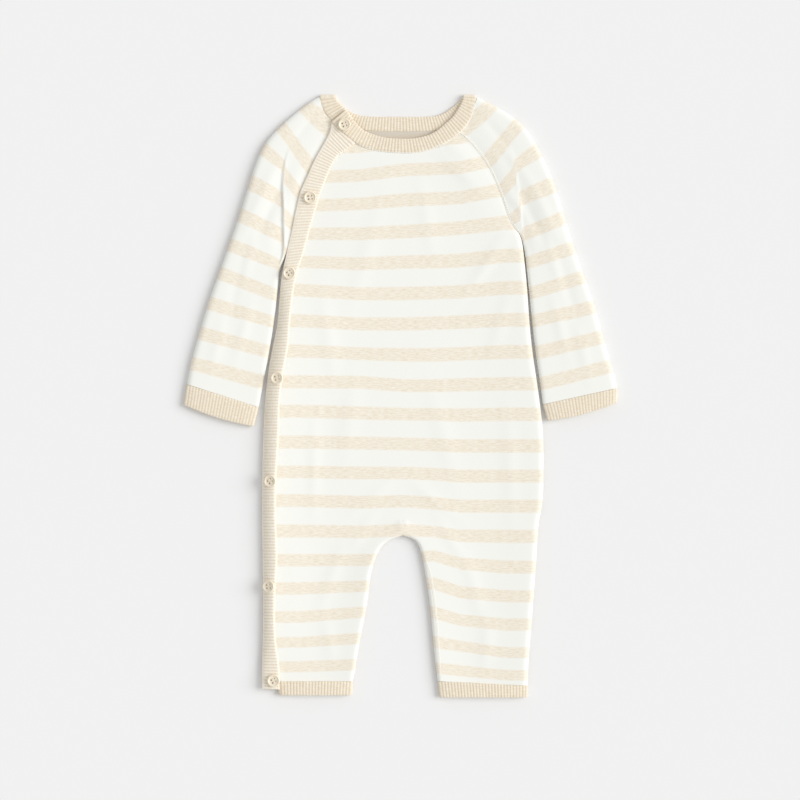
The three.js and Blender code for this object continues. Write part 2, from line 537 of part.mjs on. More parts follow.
function frontPanel() {
  const net = new Net();
  const rows = [];
  const first = frontRow(FIRST_ROW, offSeam(leftSleeve, ["x", "y"], 0, -1), 0);
  const neckline = first.map((point, i) => {
    if (i < 2) return point;
    const t = (i - 1) / (first.length - 2);
    const { x, y } = neckEdge(neckFront, lerp(NECKLINE.from, NECKLINE.to, t), COARSE_EDGE);
    return plan(x, y, Math.min(point.z, TOP_EDGE + 0.2));
  });
  for (const sleeveRow of RAGLAN_ROWS.slice(1)) {
    const t = sleeveRow / ARMPIT_ROW;
    const right = offSeam(leftSleeve, ["x", "y"], sleeveRow, -1);
    const row = placketRowAt(lerp(RAGLAN_Y.neck, RAGLAN_Y.armpit, t));
    const sag = (f) => -NECK_SAG * (1 - t) ** 2 * Math.sin(Math.PI * f);
    rows.push(frontRow(row, right, smoothstep(t, 0.8, 1) / 2, sag));
  }
  for (const y of TORSO_ROWS) rows.push(frontRow(placketRowAt(y), { x: leftSide(y).x, y }, 1));
  const last = net.rows([neckline, ...rows], false);

  const crotch = legRow(CROTCH.y);
  const meeting = net.add([...crotch.right, ...crotch.left.slice(1)]);
  net.join(last, meeting, false);
  const legsBelow = LEG_ROWS.map(legRow);
  net.rows(legsBelow.map((row) => row.right), false, meeting.slice(0, crotch.right.length));
  net.rows(legsBelow.map((row) => row.left), false, meeting.slice(crotch.right.length - 1));
  return wall(net.points, net.quads, KNIT);
}

// One row across both legs, from the placket to the inside of the right leg, and from the inside of the left
// leg to its outer side.
function legRow(y) {
  const { rightX, leftX, tilt } = legs(y);
  const under = frontUnderPlacket(placketRowAt(y));
  const left = under[1];
  const side = leftSide(y - tilt).x;
  const inset = y < CROTCH.y ? KNIT / 2 : 0;
  const apex = y < CROTCH.y ? 0 : KNIT / 2;
  const edge = { z: TOP_EDGE, roll: INSEAM_ROLL, rolled: 1 };
  const rightInside = { ...edge, x: rightX - inset, y: y + apex };
  const leftInside = { ...edge, x: leftX + inset, y: y + apex };
  const outside = { x: side - KNIT / 2, y: y - tilt, z: TOP_EDGE, roll: SIDE_ROLL, rolled: 1 };
  const level = frontLevel(left.x, left.z, side);
  const right = line({ x: left.x, y: left.y }, rightInside, STEPS.frontToMiddle, level);
  right[0].z = left.z;
  return { right: [under[0], ...right], left: line(leftInside, outside, STEPS.frontToSide, level) };
}

// The back

const backLevel = () => BACK_LEVEL;
const PLACKET_CLEAR = 2.6; // from the placket's free edge in to the back's edge

function backSide(y) {
  const { freeX } = placket(placketRowAt(y));
  return { x: freeX + PLACKET_CLEAR, y };
}

function backRow(left, right, rolled) {
  const middle = { x: middleX(right.y), y: (left.y + right.y) / 2 };
  const spread = middleSpread(right.y);
  const edge = { x: right.x - (rolled * KNIT) / 2, y: right.y, roll: SIDE_ROLL, rolled };
  edge.z = lerp(BACK_LEVEL, BOTTOM_EDGE, rolled);
  const leftHalf = line(left, { ...middle, roll: spread }, STEPS.back, backLevel);
  return [...leftHalf, ...line({ ...middle, roll: spread }, edge, STEPS.back, backLevel).slice(1)];
}

function backPanel() {
  const net = new Net();
  const rows = [];
  for (const sleeveRow of RAGLAN_ROWS) {
    const left = offSeam(rightSleeve, ["backX", "backY"], sleeveRow, 1);
    const right = offSeam(leftSleeve, ["backX", "backY"], sleeveRow, -1);
    rows.push(backRow(left, right, sleeveRow < ARMPIT_ROW ? 0 : 0.5));
  }
  rows[0].forEach((point, i) => {
    const t = i / (rows[0].length - 1);
    const { x, y } = neckEdge(neckBack, lerp(BACK_NECKLINE.from, BACK_NECKLINE.to, t));
    point.set(x, y, point.z);
  });
  const torso = TORSO_ROWS.filter((_, i) => i % 2 === 0);
  for (const y of torso) rows.push(backRow(backSide(y), { x: leftSide(y).x, y }, 1));
  const last = net.rows(rows, true);

  const crotch = backLegRow(CROTCH.y);
  const meeting = net.add([...crotch.right, ...crotch.left.slice(1)]);
  net.join(last, meeting, true);
  const legsBelow = LEG_ROWS.map(backLegRow);
  net.rows(legsBelow.map((row) => row.right), true, meeting.slice(0, crotch.right.length));
  net.rows(legsBelow.map((row) => row.left), true, meeting.slice(crotch.right.length - 1));
  return wall(net.points, net.quads, KNIT);
}

function backLegRow(y) {
  const { rightX, leftX, tilt } = legs(y);
  const inset = y < CROTCH.y ? KNIT / 2 : 0;
  const apex = y < CROTCH.y ? 0 : KNIT / 2;
  const edge = { z: BOTTOM_EDGE, roll: INSEAM_ROLL, rolled: 1 };
  const outside = { ...edge, x: leftSide(y - tilt).x - KNIT / 2, y: y - tilt, roll: SIDE_ROLL };
  return {
    right: line(backSide(y), { ...edge, x: rightX - inset, y: y + apex }, STEPS.back, backLevel),
    left: line({ ...edge, x: leftX + inset, y: y + apex }, outside, STEPS.back, backLevel),
  };
}

// Sleeves and tubes

const INNER_DROP = 0.8; // how much lower a tube's front lies beside its inner edge
const FOLD_ANGLES = [90, 65, 40, 15, -15, -40, -65, -90].map(THREE.MathUtils.degToRad);

// A line round a flattened tube: the front from its inner edge out to the fold, round the fold, and the back
// in to its own inner edge. The fold is half an ellipse between the two levels.
function tubeLine({ inner, back, fold, top, frontSteps, backSteps, dent = () => 0 }) {
  const inset = plan(inner.x - fold.x, inner.y - fold.y).setLength(KNIT / 2);
  const tip = { x: fold.x + inset.x, y: fold.y + inset.y };
  const width = plan(tip.x - inner.x, tip.y - inner.y);
  const turnIn = width.clone().setLength(SIDE_ROLL);
  const start = { x: tip.x - turnIn.x, y: tip.y - turnIn.y };
  const backInset = plan(tip.x - back.x, tip.y - back.y).setLength(SIDE_ROLL);
  const backStart = { x: tip.x - backInset.x, y: tip.y - backInset.y };
  const low = inner.low ?? top - INNER_DROP;
  const level = (x, y, d, length) => lerp(low, top, smoothstep(d / length, 0, 1)) + dent(d / length);
  const front = line(inner, start, frontSteps, level);
  front.at(-1).z = top;
  const [middle, half] = [(top + BACK_LEVEL) / 2, (top - BACK_LEVEL) / 2];
  const round = FOLD_ANGLES.slice(1, -1).map((angle) => {
    const side = (1 - Math.sin(angle)) / 2;
    const base = plan(lerp(start.x, backStart.x, side), lerp(start.y, backStart.y, side));
    const out = plan(tip.x - base.x, tip.y - base.y).multiplyScalar(Math.cos(angle));
    return base.add(out).setZ(middle + half * Math.sin(angle));
  });
  const behind = line(backStart, back, backSteps, backLevel);
  return [...front, ...round, ...behind];
}

const FRONT_STEPS = 7;
const BACK_STEPS_OF_TUBE = 3;
const BACK_STEPS_OF_HEM = 4;
const CREASE_WIDTH = 0.11; // half the width of a sleeve's crease, as a share of the sleeve's

// The lines of a sleeve. The edges are the places of its front and back seams.
function sleeveLine(read, row, edges, frontSteps = FRONT_STEPS) {
  const at = read(row);
  const { rolled } = at;
  const out = plan(at.foldX - at.x, at.foldY - at.y).setLength((rolled * KNIT) / 2);
  const move = (edge) => ({ x: edge.x + out.x, y: edge.y + out.y, roll: INSEAM_ROLL, rolled });
  const inner = { ...move(edges.front), z: lerp(edges.front.z ?? TOP_EDGE, TOP_EDGE, rolled) };
  const back = { ...move(edges.back), z: lerp(BACK_LEVEL, BOTTOM_EDGE, rolled) };
  const dent = (f) => -at.deep * gaussian((f - at.crease) / CREASE_WIDTH);
  const fold = { x: at.foldX, y: at.foldY };
  return tubeLine({ inner, back, fold, top: at.top, frontSteps, backSteps: BACK_STEPS_OF_TUBE, dent });
}

const SLEEVE_ROWS = [...RAGLAN_ROWS, 5.5, 6, 7, 8, 9, 10, 11];

// Moves the points of a line, from one number to another, onto a stretch of the neckband's sewn edge.
function followNeck(points, [first, last], read, [from, to]) {
  for (let i = first; i <= last; i += 1) {
    const { x, y } = neckEdge(read, lerp(from, to, (i - first) / (last - first)));
    points[i].set(x, y, points[i].z);
  }
}

// A raglan sleeve. The neck says which rows of the neckband its front and its back are sewn to, and the
// raglan gives the front seam above the armpit.
function sleeve(read, { neck, raglan, side }) {
  const rows = SLEEVE_ROWS.map((row) => {
    const { x, y, backX, backY } = read(row);
    if (row >= ARMPIT_ROW) return sleeveLine(read, row, { front: { x, y }, back: { x: backX, y: backY } });
    const back = offSeam(read, ["backX", "backY"], row, side);
    return sleeveLine(read, row, { front: raglan(row), back });
  });
  const frontPoints = ROLL_ANGLES.length + FRONT_STEPS - 1;
  const total = rows[0].length - 1;
  followNeck(rows[0], [0, frontPoints], neck.front, neck.frontRows);
  followNeck(rows[0], [total - BACK_STEPS_OF_TUBE - ROLL_ANGLES.length + 1, total], neckBack, neck.backRows);
  const net = new Net();
  net.rows(rows, side < 0);
  return wall(net.points, net.quads, KNIT);
}

// A band round the end of a tube: a line at the seam, a line at its open end, and ribs up the front.
function endBand(top, bottom, frontSteps, turned, ribs) {
  const net = new Net();
  const count = top.length;
  const first = ROLL_ANGLES.length - 1; // points of the roll come before the ribs
  net.rows([top, bottom], turned);
  const raised = (i) => {
    const column = (i % count) - first;
    return [column > 0 && column < frontSteps && column % 2 ? ribs : 0, 0];
  };
  return wall(net.points, net.quads, KNIT, raised);
}

const evenSteps = (length) => Math.round(length / RIB_PITCH) * 2;

// A cuff goes on from the last line of its sleeve.
function cuff(read, end, side) {
  const last = SLEEVE_ROWS.at(-1);
  const at = read(last);
  const frontSteps = evenSteps(Math.hypot(at.foldX - at.x, at.foldY - at.y) - SIDE_ROLL - INSEAM_ROLL);
  const front = { x: at.x, y: at.y };
  const top = sleeveLine(read, last, { front, back: front }, frontSteps);
  const along = plan(end.x - at.x, end.y - at.y).setLength(SEAM);
  top.forEach((point) => point.add(along));
  const cuffEnd = () => ({ ...at, x: end.x, y: end.y, foldX: end.foldX, foldY: end.foldY, top: CUFF_TOP });
  const bottom = sleeveLine(cuffEnd, last, { front: end, back: end }, frontSteps);
  const across = plan(end.foldX - end.x, end.foldY - end.y);
  bottom.forEach((point) => {
    const t = clamp(plan(point.x - end.x, point.y - end.y).dot(across) / across.lengthSq(), 0, 1);
    point.addScaledVector(along, (end.bow / SEAM) * Math.sin(Math.PI * t));
  });
  return endBand(top, bottom, frontSteps, side < 0, CUFF_RIB);
}

// The hem of the right leg is open at the placket, like the side above it.
function rightHem() {
  const lineAt = (y) => {
    const row = placketRowAt(y);
    const left = frontUnderPlacket(row)[1];
    const back = { ...backSide(y), z: BACK_LEVEL, roll: INSEAM_ROLL, rolled: 0 };
    const inner = { x: left.x, y, z: left.z, low: left.z, roll: INSEAM_ROLL, rolled: 0 };
    const fold = { x: legs(y).rightX, y };
    return tubeLine({ inner, back, fold, top: HEM_LEVEL, frontSteps, backSteps: BACK_STEPS_OF_HEM });
  };
  const frontSteps = evenSteps(legs(HEM_TOP).rightX - placket(PLACKET.length - 1).sewnX);
  return endBand(lineAt(HEM_TOP), lineAt(HEM_END.right), frontSteps, false, RIB_HEIGHT);
}

// The hem of the left leg is a whole tube with its seam at the inseam.
function leftHem() {
  const lineAt = (y, tilt) => {
    const seam = { x: legs(y).leftX + KNIT / 2, y, roll: INSEAM_ROLL, rolled: 1 };
    const fold = { x: leftSide(y - tilt).x, y: y - tilt };
    const inner = { ...seam, z: TOP_EDGE };
    const back = { ...seam, z: BOTTOM_EDGE };
    return tubeLine({ inner, back, fold, top: HEM_LEVEL, frontSteps, backSteps: BACK_STEPS_OF_HEM });
  };
  const frontSteps = evenSteps(leftSide(HEM_TOP).x - legs(HEM_TOP).leftX - SIDE_ROLL - INSEAM_ROLL);
  const top = lineAt(HEM_TOP, legs(PANEL_END).tilt);
  return endBand(top, lineAt(HEM_END.left, 0), frontSteps, false, RIB_HEIGHT);
}

const FOLD_STEPS = 6;
// The stretches of the neckband that have ribs, in rows: plain where it folds over.
const NECK_RIBS = { front: [0, 11.4], back: [1.3, 8.7], under: [0.6, 4] };

// The neckband is one strip: it crosses the front, folds over at the left shoulder, runs along the back with
// its outside on the floor, folds over again and ends under its own start.
function neckband() {
  const net = new Net();
  const raises = [];
  const sections = [];
  const run = (read, table, ribs, raised) => {
    const middle = (row) => {
      const { sewnX, sewnY, freeX, freeY, z } = read(row);
      return plan((sewnX + freeX) / 2, (sewnY + freeY) / 2, z);
    };
    evenly(middle, table.length - 1, RIB_PITCH / 2).forEach((row, i) => {
      const { sewnX, sewnY, freeX, freeY, z } = read(row);
      sections.push([plan(sewnX, sewnY, z), plan(freeX, freeY, z)]);
      const raise = i % 2 && row >= ribs[0] && row <= ribs[1] ? raised : [0, 0];
      raises.push(raise, raise);
    });
  };
  // Over the top of a shoulder: half a turn towards +Y between the level of the front and of the back.
  const turn = (from, to) => {
    const [start, end] = [from.z, to.z];
    for (const t of steps(FOLD_STEPS).slice(1, -1)) {
      const out = (Math.abs(start - end) / 2) * Math.sin(Math.PI * t);
      const z = lerp(start, end, (1 - Math.cos(Math.PI * t)) / 2);
      sections.push([plan(from.sewnX, from.sewnY + out, z), plan(from.freeX, from.freeY + out, z)]);
      raises.push([0, 0], [0, 0]);
    }
  };
  run(neckFront, NECK_FRONT, NECK_RIBS.front, [RIB_HEIGHT, 0]);
  turn(NECK_FRONT.at(-1), NECK_BACK[0]);
  run(neckBack, NECK_BACK, NECK_RIBS.back, [0, RIB_HEIGHT]);
  turn(NECK_BACK.at(-1), NECK_UNDER[0]);
  run(neckUnder, NECK_UNDER, NECK_RIBS.under, [RIB_HEIGHT, 0]);
  net.rows(sections, false);
  return wall(net.points, net.quads, BAND, (i) => raises[i]);
}

const NODES = [];
function addNode(name, geometry, look) {
  geometry.computeVertexNormals();
  const mesh = new THREE.Mesh(geometry, new THREE.MeshStandardMaterial(look));
  mesh.name = name;
  NODES.push(mesh);
}

// The ribbed placket: fine rows outside, and a plain inside with a row for every few of those.
const INSIDE_EVERY = 8;
function ribbedPlacket() {
  const last = PLACKET.length - 1;
  const places = evenly((row) => placketPoint(row, 0.5).point, last, RIB_PITCH / 2);
  const inside = places.filter((_, i) => i % INSIDE_EVERY === 0 || i === places.length - 1);
  const cells = steps(3);
  const positions = [];
  const outerRow = places.map((row, i) =>
    cells.map((across) => {
      const off = BAND / 2 + (i % 2 ? RIB_HEIGHT : 0);
      return positions.push(placketPoint(row, across, off).point) - 1;
    }),
  );
  const innerRow = inside.map((row) =>
    cells.map((across) => positions.push(placketPoint(row, across, -BAND / 2).point) - 1),
  );
  const index = [];
  // Rows run towards -Y and across towards -X, so the cloth faces up with this order.
  const cover = (rows, up) => {
    for (let i = 0; i + 1 < rows.length; i += 1) {
      for (let j = 0; j + 1 < cells.length; j += 1) {
        const q = [rows[i][j], rows[i][j + 1], rows[i + 1][j + 1], rows[i + 1][j]];
        if (!up) q.reverse();
        index.push(q[0], q[1], q[2], q[0], q[2], q[3]);
      }
    }
  };
  cover(outerRow, true);
  cover(innerRow, false);
  const side = (j, turned) => {
    for (let k = 0; k + 1 < innerRow.length; k += 1) {
      const start = k * INSIDE_EVERY;
      const end = Math.min(start + INSIDE_EVERY, places.length - 1);
      const half = Math.floor((start + end) / 2);
      const tri = (a, b, c) => index.push(...(turned ? [a, c, b] : [a, b, c]));
      for (let i = start; i < end; i += 1) {
        tri(outerRow[i][j], outerRow[i + 1][j], innerRow[i < half ? k : k + 1][j]);
      }
      tri(outerRow[half][j], innerRow[k + 1][j], innerRow[k][j]);
    }
  };
  side(0, false);
  side(cells.length - 1, true);
  const endRim = (outer, inner, turned) => {
    for (let j = 0; j + 1 < cells.length; j += 1) {
      const q = [outer[j], inner[j], inner[j + 1], outer[j + 1]];
      if (turned) q.reverse();
      index.push(q[0], q[1], q[2], q[0], q[2], q[3]);
    }
  };
  endRim(outerRow[0], innerRow[0], false);
  endRim(outerRow.at(-1), innerRow.at(-1), true);
  return indexed(positions.flatMap((p) => p.toArray()), index);
}

function buttonStand() {
  const net = new Net();
  const last = PLACKET.length - 1;
  const places = steps(2 * last).map((t) => clamp(t * last, FIRST_ROW, last));
  const rows = places.map((row) => {
    const rolled = smoothstep(placket(row).drop, 0.3, 3);
    const flat = lerp(STAND.toNeck, STAND.to, smoothstep(row, 0, 1.5));
    const to = lerp(flat, STAND.toRolled, rolled);
    return steps(2).map((t) => placketPoint(row, lerp(to, STAND.from, t), -LAP).point);
  });
  net.rows(rows, false);
  return wall(net.points, net.quads, KNIT);
}

// A closed solid that can be cut, from a turned or extruded geometry.
function solid(geometry) {
  for (const name of ["normal", "uv"]) geometry.deleteAttribute(name);
  const merged = mergeVertices(geometry, 1e-4);
  const mesh = new wasm.Mesh({
    numProp: 3,
    vertProperties: merged.attributes.position.array,
    triVerts: new Uint32Array(merged.index.array),
  });
  return new wasm.Manifold(mesh);
}

// A four-hole button with a raised rim, turned and drilled, its underside on z = 0 round the origin. Its
// profile is what each point stands in from the full radius, and its height.
const BUTTON_PROFILE = [
  { in: BUTTON_RADIUS, height: 0 },
  { in: 0.7, height: 0 },
  { in: 0, height: 0.8 },
  { in: 0.1, height: BUTTON_THICK - 0.6 },
  { in: 0.6, height: BUTTON_THICK },
  { in: BUTTON_RIM - 0.2, height: BUTTON_THICK },
  { in: BUTTON_RIM + 0.5, height: BUTTON_THICK - BUTTON_DISH },
  { in: BUTTON_RADIUS, height: BUTTON_THICK - BUTTON_DISH },
];
const BUTTON_SIDES = 14;
const HOLE_SIDES = 5;

function buttonShape() {
  const profile = BUTTON_PROFILE.map((point) => new THREE.Vector2(BUTTON_RADIUS - point.in, point.height));
  let body = solid(new THREE.LatheGeometry(profile, BUTTON_SIDES).rotateX(Math.PI / 2));
  for (const [x, y] of [[1, 1], [1, -1], [-1, 1], [-1, -1]]) {
    const drill = new THREE.CylinderGeometry(HOLE_RADIUS, HOLE_RADIUS, 3 * BUTTON_THICK, HOLE_SIDES);
    drill.rotateX(Math.PI / 2).translate(x * HOLE_PLACE, y * HOLE_PLACE, 0);
    body = body.subtract(solid(drill));
  }
  const { vertProperties, triVerts } = body.getMesh();
  return indexed([...vertProperties], [...triVerts]);
}

function addButton(name, point, normal) {
  addNode(name, buttonShape(), COLOURS.button);
  const mesh = NODES.at(-1);
  mesh.position.copy(point);
  mesh.quaternion.setFromUnitVectors(plan(0, 0, 1), normal);
}

// The rows of the neckband that each sleeve's top is sewn to.
const leftEdges = { front: neckFront, frontRows: [9.6, 12.4], backRows: [0.55, 2.45] };
const rightEdges = { front: neckUnder, frontRows: [3.35, 0.5], backRows: [9.4, 7.65] };
const besideFront = (row) => offSeam(leftSleeve, ["x", "y"], row, 1);
const underPlacket = (row) => placketPoint(rightSleeve(row).placketRow, SLEEVE_UNDERLAP, -LAP).point;
const leftSeams = { neck: leftEdges, raglan: besideFront, side: 1 };
const rightSeams = { neck: rightEdges, raglan: underPlacket, side: -1 };

addNode("front_panel", frontPanel(), COLOURS.white);
addNode("back_panel", backPanel(), COLOURS.white);
addNode("left_sleeve", sleeve(leftSleeve, leftSeams), COLOURS.white);
addNode("right_sleeve", sleeve(rightSleeve, rightSeams), COLOURS.white);
addNode("left_cuff", cuff(leftSleeve, LEFT_CUFF, 1), COLOURS.heather);
addNode("right_cuff", cuff(rightSleeve, RIGHT_CUFF, -1), COLOURS.heather);
addNode("left_leg_hem", leftHem(), COLOURS.heather);
addNode("right_leg_hem", rightHem(), COLOURS.heather);

addNode("neckband", neckband(), COLOURS.heather);
addNode("button_placket", ribbedPlacket(), COLOURS.heather);
addNode("button_stand", buttonStand(), COLOURS.heather);

const buttonOff = BAND / 2 + RIB_HEIGHT + BUTTON_GAP;
const { sewnX, sewnY, freeX, freeY, z } = neckFront(NECK_BUTTON.row);
const onNeck = [lerp(sewnX, freeX, NECK_BUTTON.across), lerp(sewnY, freeY, NECK_BUTTON.across)];
addButton("button_1", plan(...onNeck, z + buttonOff), plan(0, 0, 1));
BUTTONS.forEach(({ row, across }, i) => {
  const { point, normal } = placketPoint(row, across, buttonOff);
  addButton(`button_${i + 2}`, point, normal);
});

const romper = new THREE.Group();
romper.add(...NODES);
export default romper;
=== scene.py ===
# %% [markdown]
# # A knitted baby romper, laid flat
# The romper lies on its back and is seen from straight above. Its cloth is cotton jersey, knitted in cream
# and heather beige stripes, with ribbed bands at the neck, down the buttoned side, and at wrists and
# ankles. The construction, at real size, is loaded first, and each piece is then dressed in finer form.

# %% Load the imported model
import math
from contextlib import contextmanager

import bmesh
import bpy
import numpy as np
from mathutils import Matrix, Vector
from mathutils.bvhtree import BVHTree


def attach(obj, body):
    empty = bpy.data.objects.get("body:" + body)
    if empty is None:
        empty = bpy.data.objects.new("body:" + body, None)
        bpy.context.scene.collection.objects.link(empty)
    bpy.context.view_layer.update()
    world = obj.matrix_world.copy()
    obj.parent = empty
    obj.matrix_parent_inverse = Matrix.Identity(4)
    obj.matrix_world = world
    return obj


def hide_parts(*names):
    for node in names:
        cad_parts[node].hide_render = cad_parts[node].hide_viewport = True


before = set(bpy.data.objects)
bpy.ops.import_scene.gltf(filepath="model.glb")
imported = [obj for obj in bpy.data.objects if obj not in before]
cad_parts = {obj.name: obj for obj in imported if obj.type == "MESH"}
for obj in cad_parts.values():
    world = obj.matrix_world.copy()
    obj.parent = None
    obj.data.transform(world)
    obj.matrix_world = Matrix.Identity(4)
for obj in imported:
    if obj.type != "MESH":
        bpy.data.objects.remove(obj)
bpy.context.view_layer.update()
MM = 0.001
scene = bpy.context.scene

# %% [markdown]
# ## Colours, nodes and objects
# Colours are picked as sRGB hex values, the way a screen shows them, but a shader works in linear light.
# One function turns the one into the other, and one more adds a node, sets it up and links it, so that a
# material reads as a short list of steps. Two others start a material and put something in the scene.

# %% Helpers for colours, nodes and objects
def linear(hex_value, alpha=1.0):
    """A colour such as "f0e6d6" as linear red, green, blue and alpha."""
    channels = [int(hex_value[i : i + 2], 16) / 255 for i in (0, 2, 4)]
    return [c / 12.92 if c <= 0.04045 else ((c + 0.055) / 1.055) ** 2.4 for c in channels] + [alpha]


def add(tree, kind, inputs=None, **settings):
    """Adds a node. An input is a value, or the output socket that it is linked to."""
    made = tree.nodes.new(kind)
    for name, value in settings.items():
        setattr(made, name, value)
    for socket, value in (inputs or {}).items():
        if isinstance(value, bpy.types.NodeSocket):
            tree.links.new(value, made.inputs[socket])
        else:
            made.inputs[socket].default_value = value
    return made


def new_material(name, **inputs):
    """A material with its shader's inputs set by name, an underscore for each space, and its node tree."""
    material = bpy.data.materials.new(name)
    material.use_nodes = True
    shader = material.node_tree.nodes["Principled BSDF"]
    for socket, value in inputs.items():
        shader.inputs[socket.replace("_", " ")].default_value = value
    return material, material.node_tree, shader


def put_in_scene(name, data):
    """An object at the origin that shows a mesh, a light or a camera."""
    made = bpy.data.objects.new(name, data)
    scene.collection.objects.link(made)
    return made


print("white is", [round(c, 2) for c in linear("ffffff")])

# %% [markdown]
# ## Cotton jersey and heather rib
# Jersey is rows of small V-shaped loops. Its yarn is matt and a little hairy, so it has a high roughness
# and a soft sheen at grazing angles. Heather yarn is spun from fibres of several shades, which gives short
# streaks along the rows. Every cloth piece carries a "knit" attribute, its place across and along the rows
# in metres, and the striped ones a "course" attribute that is a whole number in the middle of each beige
# stripe, so that the stripes follow the cloth round a fold.

# %% The yarns
CREAM = "f6f6f0"
STRIPE_LIGHT, STRIPE_DARK = "f9f3e6", "ebdfca"
# The third rib colour is painted shade for the grooves between the ribs.
RIB_LIGHT, RIB_DARK, RIB_GROOVE_SHADE = "f8efde", "eadcc5", "cdbb9c"
PAINTED_LIT_LIGHT, PAINTED_LIT_DARK = "fff9ee", "f6ebd8"  # painted light: a lighter copy of the rib for the placket, which rolls away from the window light
# The romper's inside is painted greyer and darker: the backs of the loops, and painted shade in the neck
# opening.
INSIDE_GREY_AND_SHADE = "cbbfae"
LOOP_WIDE = 1.9 * MM  # real loops are about 1.2 mm wide, too fine to show, so these are drawn coarser
LOOP_HIGH = 1.5 * MM
LOOP_DEEP, LOOP_RELIEF = 0.25 * MM, 0.35  # how deep the loops are, and how strongly that shows
STREAK_LONG = 5.0 * MM
STREAK_HIGH = 0.9 * MM
ALL_LIGHT, ALL_DARK = 0.36, 0.66  # noise below the first is light fibre, above the second dark fibre
STRIPE_HALF = 0.215  # half the width of a beige stripe, as a share of the repeat
STRIPE_BLEND = 0.03  # the two yarns interlock over about half a row of loops


def heather_colour(tree, place, light, dark):
    """Streaks of light and dark fibres along the rows."""
    stretched = add(tree, "ShaderNodeVectorMath", {0: place, 1: (1 / STREAK_LONG, 1 / STREAK_HIGH, 1)},
                    operation="MULTIPLY")
    streaks = add(tree, "ShaderNodeTexNoise", {"Vector": stretched.outputs[0], "Scale": 1.0, "Detail": 3.0,
                                               "Roughness": 0.65})
    spread = add(tree, "ShaderNodeMapRange", {0: streaks.outputs["Fac"], 1: ALL_LIGHT, 2: ALL_DARK})
    return add(tree, "ShaderNodeMix", {"Factor": spread.outputs[0], "A": linear(light), "B": linear(dark)},
               data_type="RGBA").outputs["Result"]


def loop_height(tree, place):
    """The relief of the loops: rows of chevrons."""
    split = add(tree, "ShaderNodeSeparateXYZ", {"Vector": place})
    wale = add(tree, "ShaderNodeMath", {0: split.outputs["X"], 1: LOOP_WIDE}, operation="DIVIDE")
    lean = add(tree, "ShaderNodeMath", {0: wale.outputs[0], 1: 0.5}, operation="PINGPONG")
    row = add(tree, "ShaderNodeMath", {0: split.outputs["Y"], 1: LOOP_HIGH}, operation="DIVIDE")
    chevron = add(tree, "ShaderNodeMath", {0: row.outputs[0], 1: lean.outputs[0]}, operation="ADD")
    return add(tree, "ShaderNodeMath", {0: chevron.outputs[0], 1: 0.5}, operation="PINGPONG").outputs[0]


def cream_share(tree):
    """How cream the yarn is: 0 in the middle of a beige stripe, 1 between two stripes."""
    course = add(tree, "ShaderNodeAttribute", attribute_name="course").outputs["Fac"]
    off_centre = add(tree, "ShaderNodeMath", {0: course, 1: 0.5}, operation="ADD")
    within = add(tree, "ShaderNodeMath", {0: off_centre.outputs[0]}, operation="FRACT")
    distance = add(tree, "ShaderNodeMath", {0: within.outputs[0], 1: 0.5}, operation="SUBTRACT")
    away = add(tree, "ShaderNodeMath", {0: distance.outputs[0]}, operation="ABSOLUTE")
    return add(tree, "ShaderNodeMapRange", {0: away.outputs[0], 1: STRIPE_HALF - STRIPE_BLEND,
                                            2: STRIPE_HALF + STRIPE_BLEND}).outputs[0]


def cotton(name, light, dark, striped=False):
    """Cotton knit in one yarn of two shades, with cream stripes or with painted shade in its rib grooves."""
    material, tree, shader = new_material(name, Roughness=0.9, Sheen_Weight=0.15, Sheen_Roughness=0.5,
                                          Specular_IOR_Level=0.2)
    place = add(tree, "ShaderNodeAttribute", attribute_name="knit").outputs["Vector"]
    colour = heather_colour(tree, place, light, dark)
    if striped:
        # The back's upper face is painted greyer and darker: the reverse of the knit, and painted shade.
        inside = add(tree, "ShaderNodeAttribute", attribute_name="inside").outputs["Fac"]
        layers = [(cream_share(tree), CREAM), (inside, INSIDE_GREY_AND_SHADE)]
    else:
        # Painted shade: a rib's groove is deeper in the real cloth than it is modelled and holds more shade,
        # so its colour is darkened there.
        groove = add(tree, "ShaderNodeAttribute", attribute_name="groove").outputs["Fac"]
        layers = [(groove, RIB_GROOVE_SHADE)]
    for share, over in layers:
        colour = add(tree, "ShaderNodeMix", {"Factor": share, "A": colour, "B": linear(over)},
                     data_type="RGBA").outputs["Result"]
    tree.links.new(colour, shader.inputs["Base Color"])
    bump = add(tree, "ShaderNodeBump", {"Strength": LOOP_RELIEF, "Distance": LOOP_DEEP,
                                        "Height": loop_height(tree, place)})
    tree.links.new(bump.outputs["Normal"], shader.inputs["Normal"])
    return material


striped_jersey = cotton("striped_cotton_jersey", STRIPE_LIGHT, STRIPE_DARK, striped=True)
heather_rib = cotton("heather_cotton_rib", RIB_LIGHT, RIB_DARK)
# The placket's rib is a lighter copy of the rib, as painted light.
painted_lit_rib = cotton("heather_rib_painted_lighter", PAINTED_LIT_LIGHT, PAINTED_LIT_DARK)
linking_yarn = cotton("cream_linking_yarn", CREAM, STRIPE_LIGHT)
print("materials:", striped_jersey.name, heather_rib.name, painted_lit_rib.name, linking_yarn.name)

# %% [markdown]
# ## Reading a table as a smooth curve
# A pattern cutter writes a garment down as a few measured sections. The same short tables shape the bands
# here, in millimetres, and a cubic curve reads them anywhere between two rows. Where ribs or stitches have
# to stand evenly, lengths are measured along the curve itself.

# %% Reading tables and measuring along a line
def read(table, place):
    """Reads a table at places counted in rows; each column runs in a smooth curve from row to row."""
    place = np.clip(np.asarray(place, float), 0, len(table) - 1)
    row = np.minimum(place.astype(int), len(table) - 2)
    t = (place - row)[..., None]
    slope = np.gradient(table, axis=0)
    a, b, slope_a, slope_b = table[row], table[row + 1], slope[row], slope[row + 1]
    cube = (2 * a + slope_a - 2 * b + slope_b) * t**3
    return cube + (3 * b - 3 * a - 2 * slope_a - slope_b) * t**2 + slope_a * t + a


